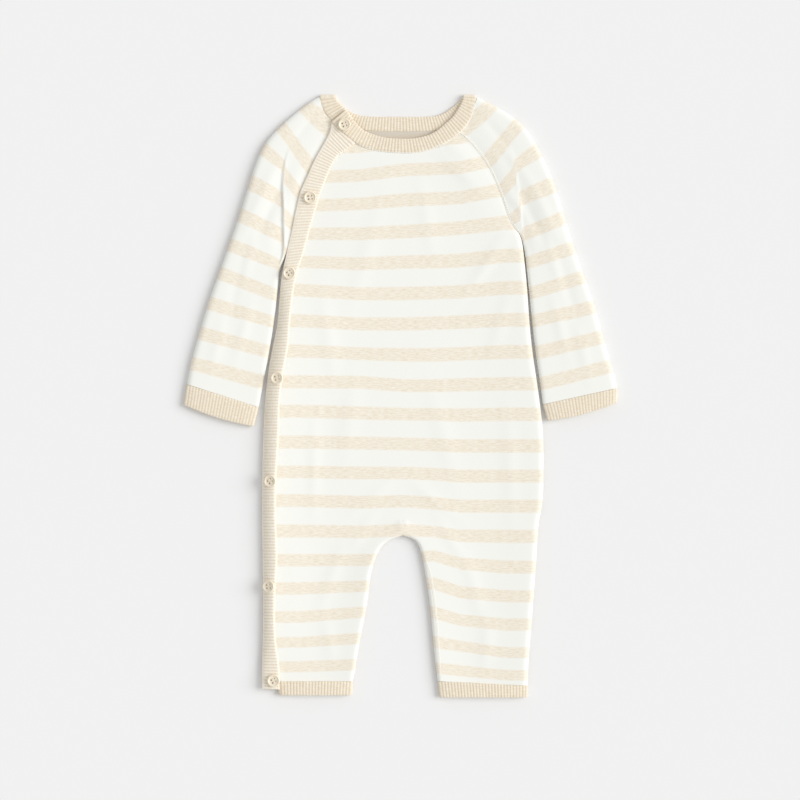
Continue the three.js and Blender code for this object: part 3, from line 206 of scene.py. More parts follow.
def smoothstep(x, low, high):
    """0 up to low, 1 from high on, and an S-shaped rise between them."""
    t = np.clip((np.asarray(x, float) - low) / (high - low), 0, 1)
    return t * t * (3 - 2 * t)


def length_along(points):
    """How far along a line of points each one lies."""
    return np.concatenate([[0], np.cumsum(np.linalg.norm(np.diff(points, axis=0), axis=1))])


def unit(vectors):
    """Vectors of the same direction and length one."""
    return vectors / np.linalg.norm(vectors, axis=-1, keepdims=True)


print("halfway up a soft step:", float(smoothstep(0.5, 0, 1)))

# %% [markdown]
# ## Where the stripes run
# A knitted stripe is a row of loops, so it stays level with its neighbours but bends where the cloth is
# pulled. The table gives the middle of each beige stripe as the photo shows it, down six columns of the
# body. The sleeves have their own rows, from the neck out to the cuff.

# %% Stripes of the body
MM_PER_PIXEL = 0.85
PHOTO_LEFT, PHOTO_TOP = -341.275, 337.025  # the photo's top left corner, in mm
STRIPE_COLUMNS = np.array([300, 360, 405, 434, 460, 505])  # pixels across the photo
STRIPES = np.array([  # pixels down the photo, a row for each beige stripe, from the neck
    [148, 147, 141, 140, 138, 126],
    [178, 176, 170, 169, 168, 158],
    [206, 204, 200, 199, 198, 189],
    [234, 234, 232, 230, 228, 223],
    [262, 264, 262, 262, 261, 256],
    [290, 294, 294, 293, 292, 288],
    [321, 324, 324, 323, 322, 320],
    [351, 354, 355, 355, 354, 352],
    [382, 382, 386, 386, 385, 384],
    [411, 413, 414, 414, 415, 414],
    [442, 443, 444, 445, 446, 446],
    [472, 473, 473, 474, 476, 476],
    [500, 502, 501, 503, 506, 506],
    [531, 532, 530, 532, 536, 536],
    [560, 560, 558, 555, 563, 567],
    [588, 586, 584, 583, 592, 596],
    [617, 612, 612, 612, 620, 624],
    [642, 638, 640, 642, 646, 653],
    [666, 664, 666, 667, 670, 674],
    [693, 691, 692, 694, 697, 701],
])
REPEAT = 25.8 * MM


def body_course(points):
    """The course, and the place in the knit, of points on the body."""
    x, y = points[:, 0] / MM, points[:, 1] / MM
    pixel_x = (x - PHOTO_LEFT) / MM_PER_PIXEL
    pixel_y = (PHOTO_TOP - y) / MM_PER_PIXEL
    levels = np.array([np.interp(pixel_x, STRIPE_COLUMNS, row) for row in STRIPES])
    course = np.zeros(len(points))
    for upper in range(len(STRIPES) - 1):
        share = (pixel_y - levels[upper]) / (levels[upper + 1] - levels[upper])
        below = (share >= 0) if upper else np.ones(len(points), bool)
        course[below] = upper + share[below]
    knit = np.stack([points[:, 0], course * REPEAT, np.zeros(len(points))], axis=1)
    return course, knit


print(len(STRIPES), "stripes down the body")

# %% Stripes of the sleeves
# A row for each beige stripe: the underarm seam, the outer fold, the course at each of them, and the crease
# that crosses the stripe: its share of the width, how far it shifts the stripe, and its height in mm.
# Columns: inner x, inner y, fold x, fold y, inner course, fold course, crease share, shift, height.
LEFT_SLEEVE_ROWS = np.array([
    [48.9, 223.9, 65.0, 254.4, 1.10, 0.55, 0.8, 0, 0],
    [58.2, 216.7, 76.9, 247.8, 1.35, 1.0, 0.7, 0, 0],
    [72.7, 198.4, 101.6, 233.7, 2, 2, 0.6, 0, 0],
    [84.1, 174.6, 116.9, 209.5, 3, 3, 0.41, 0.25, 0.5],
    [93.1, 149.1, 130.5, 179.8, 4, 4, 0.23, 0.4, 0.7],
    [102.2, 136.0, 138.1, 151.7, 4.9, 5, 0.04, 0.12, 0.2],
    [105.9, 113.4, 146.6, 126.2, 6, 6, 0, 0, 0],
    [108.6, 87.1, 155.1, 101.6, 7, 7, 0, 0, 0],
    [110.8, 64.1, 164.5, 76.1, 8, 8, 0, 0, 0],
    [113.8, 36.9, 170.8, 50.6, 9, 9, 0, 0, 0],
    [117.9, 10.6, 178.5, 25.9, 10, 10, 0, 0, 0],
    [120.0, -6.6, 183.0, 7.2, 10.7, 10.7, 0, 0, 0],
])
RIGHT_SLEEVE_ROWS = np.array([
    [-57.0, 231.4, -70.0, 254.6, 1.0, 0.55, 0.8, 0, 0],
    [-64.0, 214.0, -82.9, 246.9, 1.35, 1.0, 0.7, 0, 0],
    [-77.0, 193.0, -102.9, 229.9, 2, 2, 0.62, 0, 0],
    [-86.0, 172.0, -119.0, 211.6, 3, 3, 0.445, 0.25, 1.0],
    [-92.0, 146.0, -128.8, 181.5, 4, 4, 0.236, 0.4, 1.8],
    [-98.0, 121.0, -137.5, 154.3, 5, 5, 0.068, 0.45, 1.5],
    [-103.9, 107.5, -146.6, 128.8, 6, 6, 0.02, 0.2, 0.2],
    [-105.6, 85.4, -155.1, 105.0, 7, 7, 0, 0, 0],
    [-108.2, 63.3, -164.5, 79.5, 8, 8, 0, 0, 0],
    [-112.2, 37.8, -171.7, 54.0, 9, 9, 0, 0, 0],
    [-117.3, 12.3, -179.4, 28.5, 10, 10, 0, 0, 0],
    [-121.2, -9.0, -182.3, 10.6, 10.7, 10.7, 0, 0, 0],
])
CREASE_TURN = 0.9  # mm across which the cloth turns over a crease
CREASE_REACH = 10  # mm behind it in which the raised cloth comes down again
BESIDE = 0.2  # how far outside the table a point may lie, as a share of the sleeve's width
LINES = 661  # lines laid across a sleeve to find the one through a point
AT_ONCE = 10000  # points looked up together, which keeps the arrays small


def on_sleeve(points, rows):
    """For points on a sleeve: the table's values on the line through each, and the place along it in mm."""
    lines = read(rows, np.linspace(0, len(rows) - 1, LINES))
    inner, run = lines[:, 0:2], lines[:, 2:4] - lines[:, 0:2]
    width = np.linalg.norm(run, axis=1)
    run = run / width[:, None]
    plan = points[:, :2] / MM
    nearest = np.empty(len(plan), int)
    for start in range(0, len(plan), AT_ONCE):
        away = plan[start : start + AT_ONCE, None] - inner
        beside = away[..., 0] * run[:, 1] - away[..., 1] * run[:, 0]
        nearest[start : start + AT_ONCE] = np.abs(beside).argmin(axis=1)
    along = ((plan - inner[nearest]) * run[nearest]).sum(axis=1)
    return lines[nearest], along, width[nearest]


def sleeve_course(rows):
    """A function that gives the course, and the place in the knit, of points on a sleeve."""
    def course_of(points):
        line, along, width = on_sleeve(points, rows)
        share = np.clip(along / width, -BESIDE, 1 + BESIDE)
        crease, shift = line[:, 6], line[:, 7]
        beyond = np.clip((1 - share) / (1 - crease), 0, 1)
        behind = smoothstep(along - crease * width, -2 * CREASE_TURN, 0)
        course = line[:, 4] + (line[:, 5] - line[:, 4]) * share + shift * beyond * behind
        return course, np.stack([along * MM, course * REPEAT, np.zeros(len(points))], axis=1)

    return course_of


def sleeve_crease(points, rows):
    """How high the cloth stands behind the sleeve's crease, in mm."""
    line, along, width = on_sleeve(points, rows)
    behind = line[:, 6] * width - along
    raised = line[:, 8] * smoothstep(behind, -CREASE_TURN, CREASE_TURN)
    return raised * np.exp(-np.maximum(behind, 0) / CREASE_REACH)


left_sleeve_course = sleeve_course(LEFT_SLEEVE_ROWS)
right_sleeve_course = sleeve_course(RIGHT_SLEEVE_ROWS)
print("sleeves carry", len(LEFT_SLEEVE_ROWS) - 1, "stripes each")

# %% [markdown]
# ## Soft creases
# Laid-out knit is never quite flat: it keeps shallow waves where the body was folded, pulls at the armpits
# and fans out from the crotch. A crease is given by its middle, its turn from the X axis in degrees,
# half its length and width, and its height in millimetres, which is below zero for a trough.

# %% Creases
# Columns: x, y, turn, half length, half width, height.
BODY_CREASES = np.array([
    [-62, 52, 98, 34, 7, 0.55],
    [-30, 120, 74, 44, 8, 0.5],
    [22, 150, 100, 30, 7, 0.45],
    [72, 112, 58, 28, 6, 0.7],
    [62, 88, 52, 30, 5, -0.25],
    [84, 62, 74, 26, 6, 0.5],
    [10, 40, 12, 40, 8, 0.4],
    [-44, -18, 84, 34, 8, 0.5],
    [36, -34, 104, 38, 8, 0.55],
    [-24, -84, 38, 22, 5, 0.5],
    [28, -88, 142, 22, 5, 0.55],
    [-34, -116, 58, 22, 5, 0.45],
    [42, -122, 120, 24, 5, 0.5],
    [-58, -150, 70, 30, 6, 0.5],
    [62, -164, 104, 32, 6, 0.5],
    [-62, -206, 100, 22, 6, 0.45],
    [72, -212, 84, 24, 6, 0.5],
    [-74, -60, 90, 40, 5, 0.5],
    [92, -58, 92, 44, 6, 0.5],
    [-16, 188, 22, 24, 7, 0.4],
    [50, 190, 140, 18, 5, 0.45],
])
LEFT_SLEEVE_CREASES = np.array([
    [112, 150, 118, 26, 4.5, -0.7],
    [122, 156, 116, 26, 5, 0.6],
    [98, 196, 128, 24, 5, 0.5],
    [128, 118, 108, 26, 5, 0.55],
    [142, 88, 106, 30, 5, -0.5],
    [134, 60, 104, 24, 5, 0.5],
    [154, 40, 102, 24, 5, 0.45],
    [80, 224, 130, 16, 4, -0.4],
])
RIGHT_SLEEVE_CREASES = np.array([
    [-112, 158, 66, 28, 4.5, -0.7],
    [-122, 164, 66, 28, 5, 0.6],
    [-98, 202, 54, 22, 5, 0.5],
    [-130, 116, 72, 26, 5, 0.55],
    [-140, 92, 74, 30, 5, -0.5],
    [-134, 56, 76, 24, 5, 0.5],
    [-156, 44, 76, 24, 5, 0.45],
    [-82, 228, 50, 16, 4, -0.4],
])
LOWEST_TOP_WALL = 2.1 * MM  # the top layer never sinks into the layer under it
TOP_BLEND = 1.0  # mm of height in which the creases of the top layer fade in


def creased(points, creases, top_from, rows=None):
    """Raises and lowers the points of the top layer, which begins at a height in millimetres."""
    lift = np.zeros(len(points)) if rows is None else sleeve_crease(points, rows)
    for x, y, turn, half_long, half_wide, high in creases:
        a = math.radians(turn)
        dx, dy = points[:, 0] / MM - x, points[:, 1] / MM - y
        along = dx * math.cos(a) + dy * math.sin(a)
        across = dy * math.cos(a) - dx * math.sin(a)
        lift += high * np.exp(-((along / half_long) ** 2) - (across / half_wide) ** 2)
    z = points[:, 2]
    top = smoothstep(z / MM, top_from, top_from + TOP_BLEND)
    moved = z + lift * MM * top
    points[:, 2] = np.where(top > 0, np.maximum(moved, np.minimum(z, LOWEST_TOP_WALL)), z)
    return points


print(len(BODY_CREASES), "creases on the body")

# %% [markdown]
# ## Panels and sleeves
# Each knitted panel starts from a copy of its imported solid, which has the cut, the layers and the rolled
# edges at real size. The copy's doubles are merged, its triangles are joined to quads, and subdivision
# rounds it, with the cut edges held sharp. A cloth simulation was the other way, but it would move the
# seams apart, and the photo's creases are shallow.

# %% Helpers for meshes
def evaluated(obj, name):
    """The object with its modifiers worked out, as a plain mesh on a new object."""
    shown = obj.evaluated_get(bpy.context.evaluated_depsgraph_get())
    mesh = bpy.data.meshes.new_from_object(shown)
    mesh.name = name
    made = put_in_scene(name, mesh)
    bpy.data.objects.remove(obj)
    return made


def set_attribute(mesh, name, kind, values):
    """Writes one number or vector for each point, for the materials and node trees to read."""
    layer = mesh.attributes.get(name) or mesh.attributes.new(name, kind, "POINT")
    layer.data.foreach_set("vector" if kind == "FLOAT_VECTOR" else "value", values.astype(np.float32).ravel())


def points_of(mesh):
    """The mesh's points as rows of x, y and z."""
    points = np.empty(len(mesh.vertices) * 3, np.float32)
    mesh.vertices.foreach_get("co", points)
    return points.reshape(-1, 3).astype(float)


@contextmanager
def reshaping(mesh):
    """Opens a mesh for changes to its points, edges and faces, and writes them back at the end."""
    shaped = bmesh.new()
    shaped.from_mesh(mesh)
    yield shaped
    shaped.to_mesh(mesh)
    shaped.free()


def smooth_shaded(mesh, degrees=50):
    """Smooth shading, with edges kept sharp where faces meet at more than an angle."""
    with reshaping(mesh) as shaped:
        for face in shaped.faces:
            face.smooth = True
        for edge in shaped.edges:
            edge.smooth = len(edge.link_faces) == 2 and edge.calc_face_angle(0) < math.radians(degrees)


print("cloth nodes:", [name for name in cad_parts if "button_" not in name])

# %% [markdown]
# ## The front at the crotch and the neck
# Between the legs the front and back are joined by a short round edge, and the front rolls up from it
# evenly. The solid has few points there, so that roll is worked out as a quarter circle and then relaxed.
# At the neck the front's corner is drawn up under the neckband, where the seam pulls it.

# %% Easing the front
CROTCH_X, CROTCH_Y = 1.3, -119.2  # mm, the edge between the legs
CROTCH_WIDE = 5.9  # mm to the side at which that edge lies 1 mm lower
CROTCH_ROLL = 4.5  # mm over which the cloth rolls up from the edge
CROTCH_EDGE, CROTCH_TOP = 3.4, 5.7  # mm, heights at the edge and behind it
CROTCH_FULL, CROTCH_FADED = 3, 7.5  # mm to the side where the roll is whole, and where it has faded out
BESIDE_CROTCH, BELOW_CROTCH, ABOVE_CROTCH = 8, 0.5, 14  # mm, the stretch that is relaxed
RELAX_ROUNDS = 8
UNDERSIDE = -0.1  # the normal's height, below which a point is on the wall's underside
NECK_CORNER = (-37.0, 213.9)  # mm, where the front meets the neckband beside the placket
NECK_PULL = (0.8, 1.5)  # mm
NECK_PULL_REACH = 4  # mm


def eased_front(mesh):
    """Rolls the cloth evenly at the crotch and pulls the front's corner up to the neckband."""
    near = []
    with reshaping(mesh) as shaped:
        shaped.normal_update()
        for vert in shaped.verts:
            beside = vert.co.x / MM - CROTCH_X
            inward = vert.co.y / MM - CROTCH_Y + (beside / CROTCH_WIDE) ** 2
            corner = math.dist(vert.co.xy / MM, NECK_CORNER)
            pull = math.exp(-((corner / NECK_PULL_REACH) ** 2)) * MM
            vert.co.x += NECK_PULL[0] * pull
            vert.co.y += NECK_PULL[1] * pull
            near_edge = abs(beside) <= BESIDE_CROTCH and -BELOW_CROTCH < inward < ABOVE_CROTCH
            if not near_edge or vert.normal.z < UNDERSIDE:
                continue
            rolled = math.sqrt(1 - (1 - min(max(inward, 0) / CROTCH_ROLL, 1)) ** 2)
            level = (CROTCH_EDGE + (CROTCH_TOP - CROTCH_EDGE) * rolled) * MM
            share = 1 - smoothstep(abs(beside), CROTCH_FULL, CROTCH_FADED)
            vert.co.z = max(vert.co.z, vert.co.z + (level - vert.co.z) * share)
            near.append(vert)
        for _ in range(RELAX_ROUNDS):
            bmesh.ops.smooth_vert(shaped, verts=near, factor=0.5, use_axis_x=False, use_axis_y=False,
                                  use_axis_z=True)
    print("front eased at", len(near), "points")


# %% Making cloth from a solid
DOUBLES = 0.003 * MM  # points closer than this are one point
FLAT_PAIR, SQUARE_PAIR = math.radians(30), math.radians(60)  # triangles that may be joined to a quad
CUT_EDGE = math.radians(52)  # faces that meet at more than this meet at a cut edge
INNER_FACE = 1.2 * MM  # the back's upper face is the romper's inside and lies higher than this


def cloth_from(node, name, levels, course_of, creases=None, top_from=0.0, rows=None, inside=0.0,
               ease=None):
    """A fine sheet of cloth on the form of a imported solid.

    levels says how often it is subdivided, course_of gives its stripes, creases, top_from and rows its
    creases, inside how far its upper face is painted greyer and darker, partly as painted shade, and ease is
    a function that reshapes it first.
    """
    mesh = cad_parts[node].data.copy()
    with reshaping(mesh) as shaped:
        bmesh.ops.remove_doubles(shaped, verts=shaped.verts, dist=DOUBLES)
        bmesh.ops.join_triangles(shaped, faces=shaped.faces, angle_face_threshold=FLAT_PAIR,
                                 angle_shape_threshold=SQUARE_PAIR)
        crease = shaped.edges.layers.float.new("crease_edge")
        for edge in shaped.edges:
            edge[crease] = float(edge.calc_face_angle(0) > CUT_EDGE)
    rough = put_in_scene(name + "_rough", mesh)
    divide = rough.modifiers.new("rounding", "SUBSURF")
    divide.levels = divide.render_levels = levels
    divide.quality = 3
    cloth = evaluated(rough, name)
    if ease:
        ease(cloth.data)
    points = points_of(cloth.data)
    points[:, 2] = np.maximum(points[:, 2], 0)
    if creases is not None:
        points = creased(points, creases, top_from, rows)
    cloth.data.vertices.foreach_set("co", points.astype(np.float32).ravel())
    course, knit = course_of(points)
    # The upper face is marked for painting greyer and darker: the knit's reverse, and painted shade.
    set_attribute(cloth.data, "inside", "FLOAT", inside * (points[:, 2] > INNER_FACE))
    set_attribute(cloth.data, "course", "FLOAT", course)
    set_attribute(cloth.data, "knit", "FLOAT_VECTOR", knit)
    smooth_shaded(cloth.data)
    cloth.data.materials.clear()
    cloth.data.materials.append(striped_jersey)
    print(name, len(cloth.data.polygons), "faces")
    return cloth


# %% Front, back, sleeves and under band
front = cloth_from("front_panel", "front_jersey", 3, body_course, BODY_CREASES, -5.0, ease=eased_front)
# The inside of jersey shows the backs of the loops, greyer than the face, and it lies in the neck's shade,
# which is painted into its colour as painted shade.
back = cloth_from("back_panel", "back_jersey", 2, body_course, inside=0.75)
left_sleeve = cloth_from("left_sleeve", "left_sleeve_jersey", 3, left_sleeve_course,
                         LEFT_SLEEVE_CREASES, 2.0, LEFT_SLEEVE_ROWS)
right_sleeve = cloth_from("right_sleeve", "right_sleeve_jersey", 3, right_sleeve_course,
                          RIGHT_SLEEVE_CREASES, 2.0, RIGHT_SLEEVE_ROWS)
stand = cloth_from("button_stand", "under_band", 2, body_course)
stand.data.materials.clear()
stand.data.materials.append(heather_rib)

# %% [markdown]
# ## Raised ribs with Geometry Nodes
# A rib is a wale of loops that stands out, then one that sinks in. All the bands have the same ribs, so
# one node tree raises them: it reads how far along the band each point lies, turns that into a round ridge
# with a narrow groove, and lifts the surface by it along its normal, where the band says it has ribs.

# %% The rib tree
RIB_PITCH = 2.6 * MM
RIB_HEIGHT = 0.38 * MM
RIB_SWELL = 0.8  # below 1, the ridge is broad and the groove narrow
GROOVE_SHADE = 0.5  # how strongly the painted shade in the grooves shows


def geometry_tree(name, inputs):
    """An empty tree that takes and gives a geometry, and takes the inputs that are named with their kinds."""
    tree = bpy.data.node_groups.new(name, "GeometryNodeTree")
    for socket, kind in {"Geometry": "Geometry", **inputs}.items():
        tree.interface.new_socket(socket, in_out="INPUT", socket_type="NodeSocket" + kind)
    tree.interface.new_socket("Geometry", in_out="OUTPUT", socket_type="NodeSocketGeometry")
    return tree


def rib_tree():
    """Raises round ridges across a band, every pitch along it."""
    tree = geometry_tree("raised_ribs", {"Pitch": "Float", "Height": "Float", "Yarn": "Material"})
    given = add(tree, "NodeGroupInput").outputs
    along = add(tree, "GeometryNodeInputNamedAttribute", {"Name": "along"}, data_type="FLOAT")
    ribbed = add(tree, "GeometryNodeInputNamedAttribute", {"Name": "ribbed"}, data_type="FLOAT")
    count = add(tree, "ShaderNodeMath", {0: along.outputs[0], 1: given["Pitch"]}, operation="DIVIDE")
    ridge = add(tree, "ShaderNodeMath", {0: count.outputs[0], 1: 0.5}, operation="PINGPONG")
    angle = add(tree, "ShaderNodeMath", {0: ridge.outputs[0], 1: math.pi}, operation="MULTIPLY")
    wave = add(tree, "ShaderNodeMath", {0: angle.outputs[0]}, operation="SINE")
    full = add(tree, "ShaderNodeMath", {0: wave.outputs[0], 1: RIB_SWELL}, operation="POWER")
    lift = add(tree, "ShaderNodeMath", {0: full.outputs[0], 1: given["Height"]}, operation="MULTIPLY")
    masked = add(tree, "ShaderNodeMath", {0: lift.outputs[0], 1: ribbed.outputs[0]}, operation="MULTIPLY")
    normal = add(tree, "GeometryNodeInputNormal")
    offset = add(tree, "ShaderNodeVectorMath", {0: normal.outputs[0], "Scale": masked.outputs[0]},
                 operation="SCALE")
    moved = add(tree, "GeometryNodeSetPosition", {"Geometry": given["Geometry"],
                                                  "Offset": offset.outputs["Vector"]})
    # Painted shade: each point stores how much of the darker groove colour the material mixes in.
    low = add(tree, "ShaderNodeMath", {0: 1.0, 1: wave.outputs[0]}, operation="SUBTRACT")
    shade = add(tree, "ShaderNodeMath", {0: low.outputs[0], 1: GROOVE_SHADE}, operation="MULTIPLY")
    shaded = add(tree, "ShaderNodeMath", {0: shade.outputs[0], 1: ribbed.outputs[0]}, operation="MULTIPLY")
    stored = add(tree, "GeometryNodeStoreNamedAttribute", {"Geometry": moved.outputs[0], "Name": "groove",
                                                           "Value": shaded.outputs[0]}, data_type="FLOAT")
    whole = add(tree, "GeometryNodeRealizeInstances", {"Geometry": stored.outputs[0]})
    dyed = add(tree, "GeometryNodeSetMaterial", {"Geometry": whole.outputs[0], "Material": given["Yarn"]})
    add(tree, "NodeGroupOutput", {0: dyed.outputs[0]})
    return tree


def with_tree(obj, tree, name, **values):
    """Runs a node tree on an object, its inputs set by name, and gives the result as a plain mesh."""
    modifier = obj.modifiers.new("nodes", "NODES")
    modifier.node_group = tree
    sockets = {s.name: s.identifier for s in tree.interface.items_tree if s.in_out == "INPUT"}
    for key, value in values.items():
        modifier[sockets[key]] = value
    return evaluated(obj, name)


raised_ribs = rib_tree()
print("rib tree:", len(raised_ribs.nodes), "nodes")

# %% [markdown]
# ## A band of cloth
# Each band is a strip with rounded edges. It is given as a net of points through the middle of the cloth:
# rows along the band, columns across it. A section with flat faces and round edges is laid round each row,
# and the rows are joined up; a cuff's last row joins its first.

# %% Band builder
ROUND_EDGE = np.radians([60, 30, 0, -30, -60])  # the places round a band's edge


def band(name, net, thickness, ribs=(1, 0), closed=False, ribbed_rows=None, ribbed_columns=None,
         reach=(0, 0)):
    """A strip round the net, and its length.

    ribs says how far its outer and inner face are ribbed, ribbed_rows and ribbed_columns where, and reach
    how far the first and the last column go beyond the net, to meet the cloth that they are linked to.
    """
    rows, columns = net.shape[:2]
    around = np.roll(net, -1, axis=0) - np.roll(net, 1, axis=0) if closed else np.gradient(net, axis=0)
    side = unit(np.gradient(net, axis=1))
    normal = unit(np.cross(around, side))
    half = thickness / 2
    net = net.copy()
    net[:, 0] += side[:, 0] * (half - reach[0])
    net[:, -1] -= side[:, -1] * (half - reach[1])
    shown = np.ones(columns) if ribbed_columns is None else np.asarray(ribbed_columns, float)
    section, weights = [], []
    outer, inner = (np.broadcast_to(np.asarray(r, float), rows) for r in ribs)
    if ribbed_rows is not None:
        outer, inner = outer * ribbed_rows, inner * ribbed_rows
    for c in range(columns):
        section.append(net[:, c] + normal[:, c] * half)
        weights.append(outer * shown[c])
    for a in ROUND_EDGE:
        section.append(net[:, -1] + side[:, -1] * half * math.cos(a) + normal[:, -1] * half * math.sin(a))
        weights.append((outer if a > 0 else inner) * abs(math.sin(a)) * shown[-1])
    for c in reversed(range(columns)):
        section.append(net[:, c] - normal[:, c] * half)
        weights.append(inner * shown[c])
    for a in -ROUND_EDGE:
        section.append(net[:, 0] - side[:, 0] * half * math.cos(a) + normal[:, 0] * half * math.sin(a))
        weights.append((outer if a > 0 else inner) * abs(math.sin(a)) * shown[0])
    points = np.stack(section, axis=1)
    count = points.shape[1]
    faces = []
    for i in range(rows if closed else rows - 1):
        here, there = i * count, (i + 1) % rows * count
        for j in range(count):
            k = (j + 1) % count
            faces.append((here + j, there + j, there + k, here + k))
    if not closed:
        faces += [tuple(range(count)), tuple(reversed(range((rows - 1) * count, rows * count)))]
    mesh = bpy.data.meshes.new(name)
    mesh.from_pydata(points.reshape(-1, 3).tolist(), [], faces)
    along = length_along(net[:, columns // 2])
    across = np.linalg.norm(points - net[:, :1], axis=2)
    along_all = np.repeat(along[:, None], count, axis=1)
    set_attribute(mesh, "along", "FLOAT", along_all)
    set_attribute(mesh, "ribbed", "FLOAT", np.stack(weights, axis=1))
    set_attribute(mesh, "knit", "FLOAT_VECTOR", np.stack([along_all, across, across * 0], axis=-1))
    with reshaping(mesh) as shaped:
        bmesh.ops.recalc_face_normals(shaped, faces=shaped.faces)
    return put_in_scene(name, mesh), along[-1]


def ribbed_band(name, net, thickness, height=RIB_HEIGHT, yarn=heather_rib, **shape):
    """A band with its ribs raised, an even number of them all along."""
    plain, length = band(name + "_plain", net, thickness, **shape)
    pitch = length / round(length / RIB_PITCH)
    made = with_tree(plain, raised_ribs, name, Pitch=pitch, Height=height, Yarn=yarn)
    smooth_shaded(made.data, 70)
    faces = len(made.data.polygons)
    print(name, round(length / MM), "mm long,", round(length / pitch), "ribs,", faces, "faces")
    return made


RIB_STEP = RIB_PITCH / 6  # the rows of a band's net lie this far apart
FINE = 40  # places looked at in each row of a table


def evenly(pointer, last):
    """Places along a table, in rows, that lie about one step of a rib apart."""
    fine = np.linspace(0, last, int(last * FINE))
    length = length_along(pointer(fine))
    return np.interp(np.linspace(0, length[-1], round(length[-1] / RIB_STEP)), length, fine)


print("nets have a row every", round(RIB_STEP / MM, 2), "mm")


# %% [markdown]
# ## The button placket
# The placket is one long ribbed band, sewn to the front from the neck along the raglan line and down the
# side to the hem. On the shoulder it lies flat, and from the armpit down it rolls over the side of the
# body, so its outer half turns down to the floor. The table has a row for each section.

# %% Placket
# Columns, in mm: free edge x and y, sewn edge x and y, height of its middle, drop to the free edge.
PLACKET = np.array([
    [-59.4, 232.4, -39.2, 215.0, 5.6, 0],
    [-61.2, 224.0, -47.6, 209.5, 5.5, 0],
    [-67.2, 212.5, -54.8, 204.0, 5.5, 0],
    [-73.5, 201.5, -59.9, 195.5, 5.5, 0],
    [-79.9, 187.3, -65.1, 183.5, 5.5, 0],
    [-86.0, 173.6, -69.7, 171.6, 5.5, 0.2],
    [-89.7, 158.5, -73.6, 158.5, 5.5, 0.3],
    [-93.5, 139.8, -78.7, 141.0, 5.6, 0.4],
    [-98.0, 119.8, -83.8, 121.6, 5.8, 0.7],
    [-101.4, 102.4, -89.6, 104.0, 6.4, 1.8],
    [-103.2, 82.0, -93.1, 83.4, 7.2, 4.2],
    [-105.0, 60.8, -95.3, 61.6, 7.8, 5.6],
    [-109.0, 41.6, -96.9, 42.1, 8.0, 6.2],
    [-112.7, 20.4, -100.9, 20.0, 8.1, 6.6],
    [-115.2, -3.0, -103.9, -3.0, 8.1, 6.8],
    [-116.9, -34.0, -104.8, -34.0, 8.1, 6.8],
    [-117.8, -71.0, -107.0, -71.0, 8.1, 6.8],
    [-117.8, -105.0, -107.1, -105.0, 8.1, 6.8],
    [-117.4, -139.0, -106.2, -139.0, 8.0, 6.6],
    [-117.0, -173.0, -108.0, -173.0, 7.8, 6.3],
    [-117.3, -205.0, -107.4, -205.0, 7.4, 5.6],
    [-118.2, -228.3, -104.6, -228.3, 6.3, 3.0],
    [-118.2, -248.2, -103.7, -248.6, 5.6, 1.2],
]) * MM
BAND_THICK = 2.0 * MM
SEAM_REACH = 0.35 * MM  # bands meet the cloth that they are linked to
PLACKET_TURN = math.radians(75)  # how far the band turns down by its free edge


def placket_at(row, across, off=0.0):
    """Points of the placket's middle, 0 at the sewn and 1 at the free edge, and the normals there."""
    row, across = np.broadcast_arrays(np.asarray(row, float), np.asarray(across, float))
    free_x, free_y, sewn_x, sewn_y, z, drop = np.moveaxis(read(PLACKET, row), -1, 0)
    run_x, run_y = free_x - sewn_x, free_y - sewn_y
    angle = across * PLACKET_TURN
    out = np.sin(angle) / math.sin(PLACKET_TURN)
    down = (1 - np.cos(angle)) / (1 - math.cos(PLACKET_TURN))
    width = np.hypot(run_x, run_y)
    level = width * np.cos(angle) / math.sin(PLACKET_TURN)
    fall = drop * np.sin(angle) / (1 - math.cos(PLACKET_TURN))
    normal = unit(np.stack([run_x / width * fall, run_y / width * fall, level], -1))
    point = np.stack([sewn_x + run_x * out, sewn_y + run_y * out, z - drop * down], -1)
    return point + normal * off, normal


SELVEDGE = [0, 0, 0.5, 1, 1, 1, 1, 1, 1, 1, 1]  # the free edge is plain, as a knitted band's selvedge is
placket_rows = evenly(lambda row: placket_at(row, 0.5)[0], len(PLACKET) - 1)
placket_net = placket_at(placket_rows[:, None], np.linspace(1, 0, len(SELVEDGE))[None])[0]
# The placket takes the rib's lighter copy, as painted light where it rolls away from the window.
placket = ribbed_band("ribbed_placket", placket_net, BAND_THICK, yarn=painted_lit_rib, ribbed_columns=SELVEDGE,
                      reach=(0, SEAM_REACH))

# %% [markdown]
# ## The neckband
# The neckband is a single strip. It crosses the front, folds over at the left shoulder, comes back along
# the nape with its inside up, folds over again and ends under its own start, where it is buttoned.

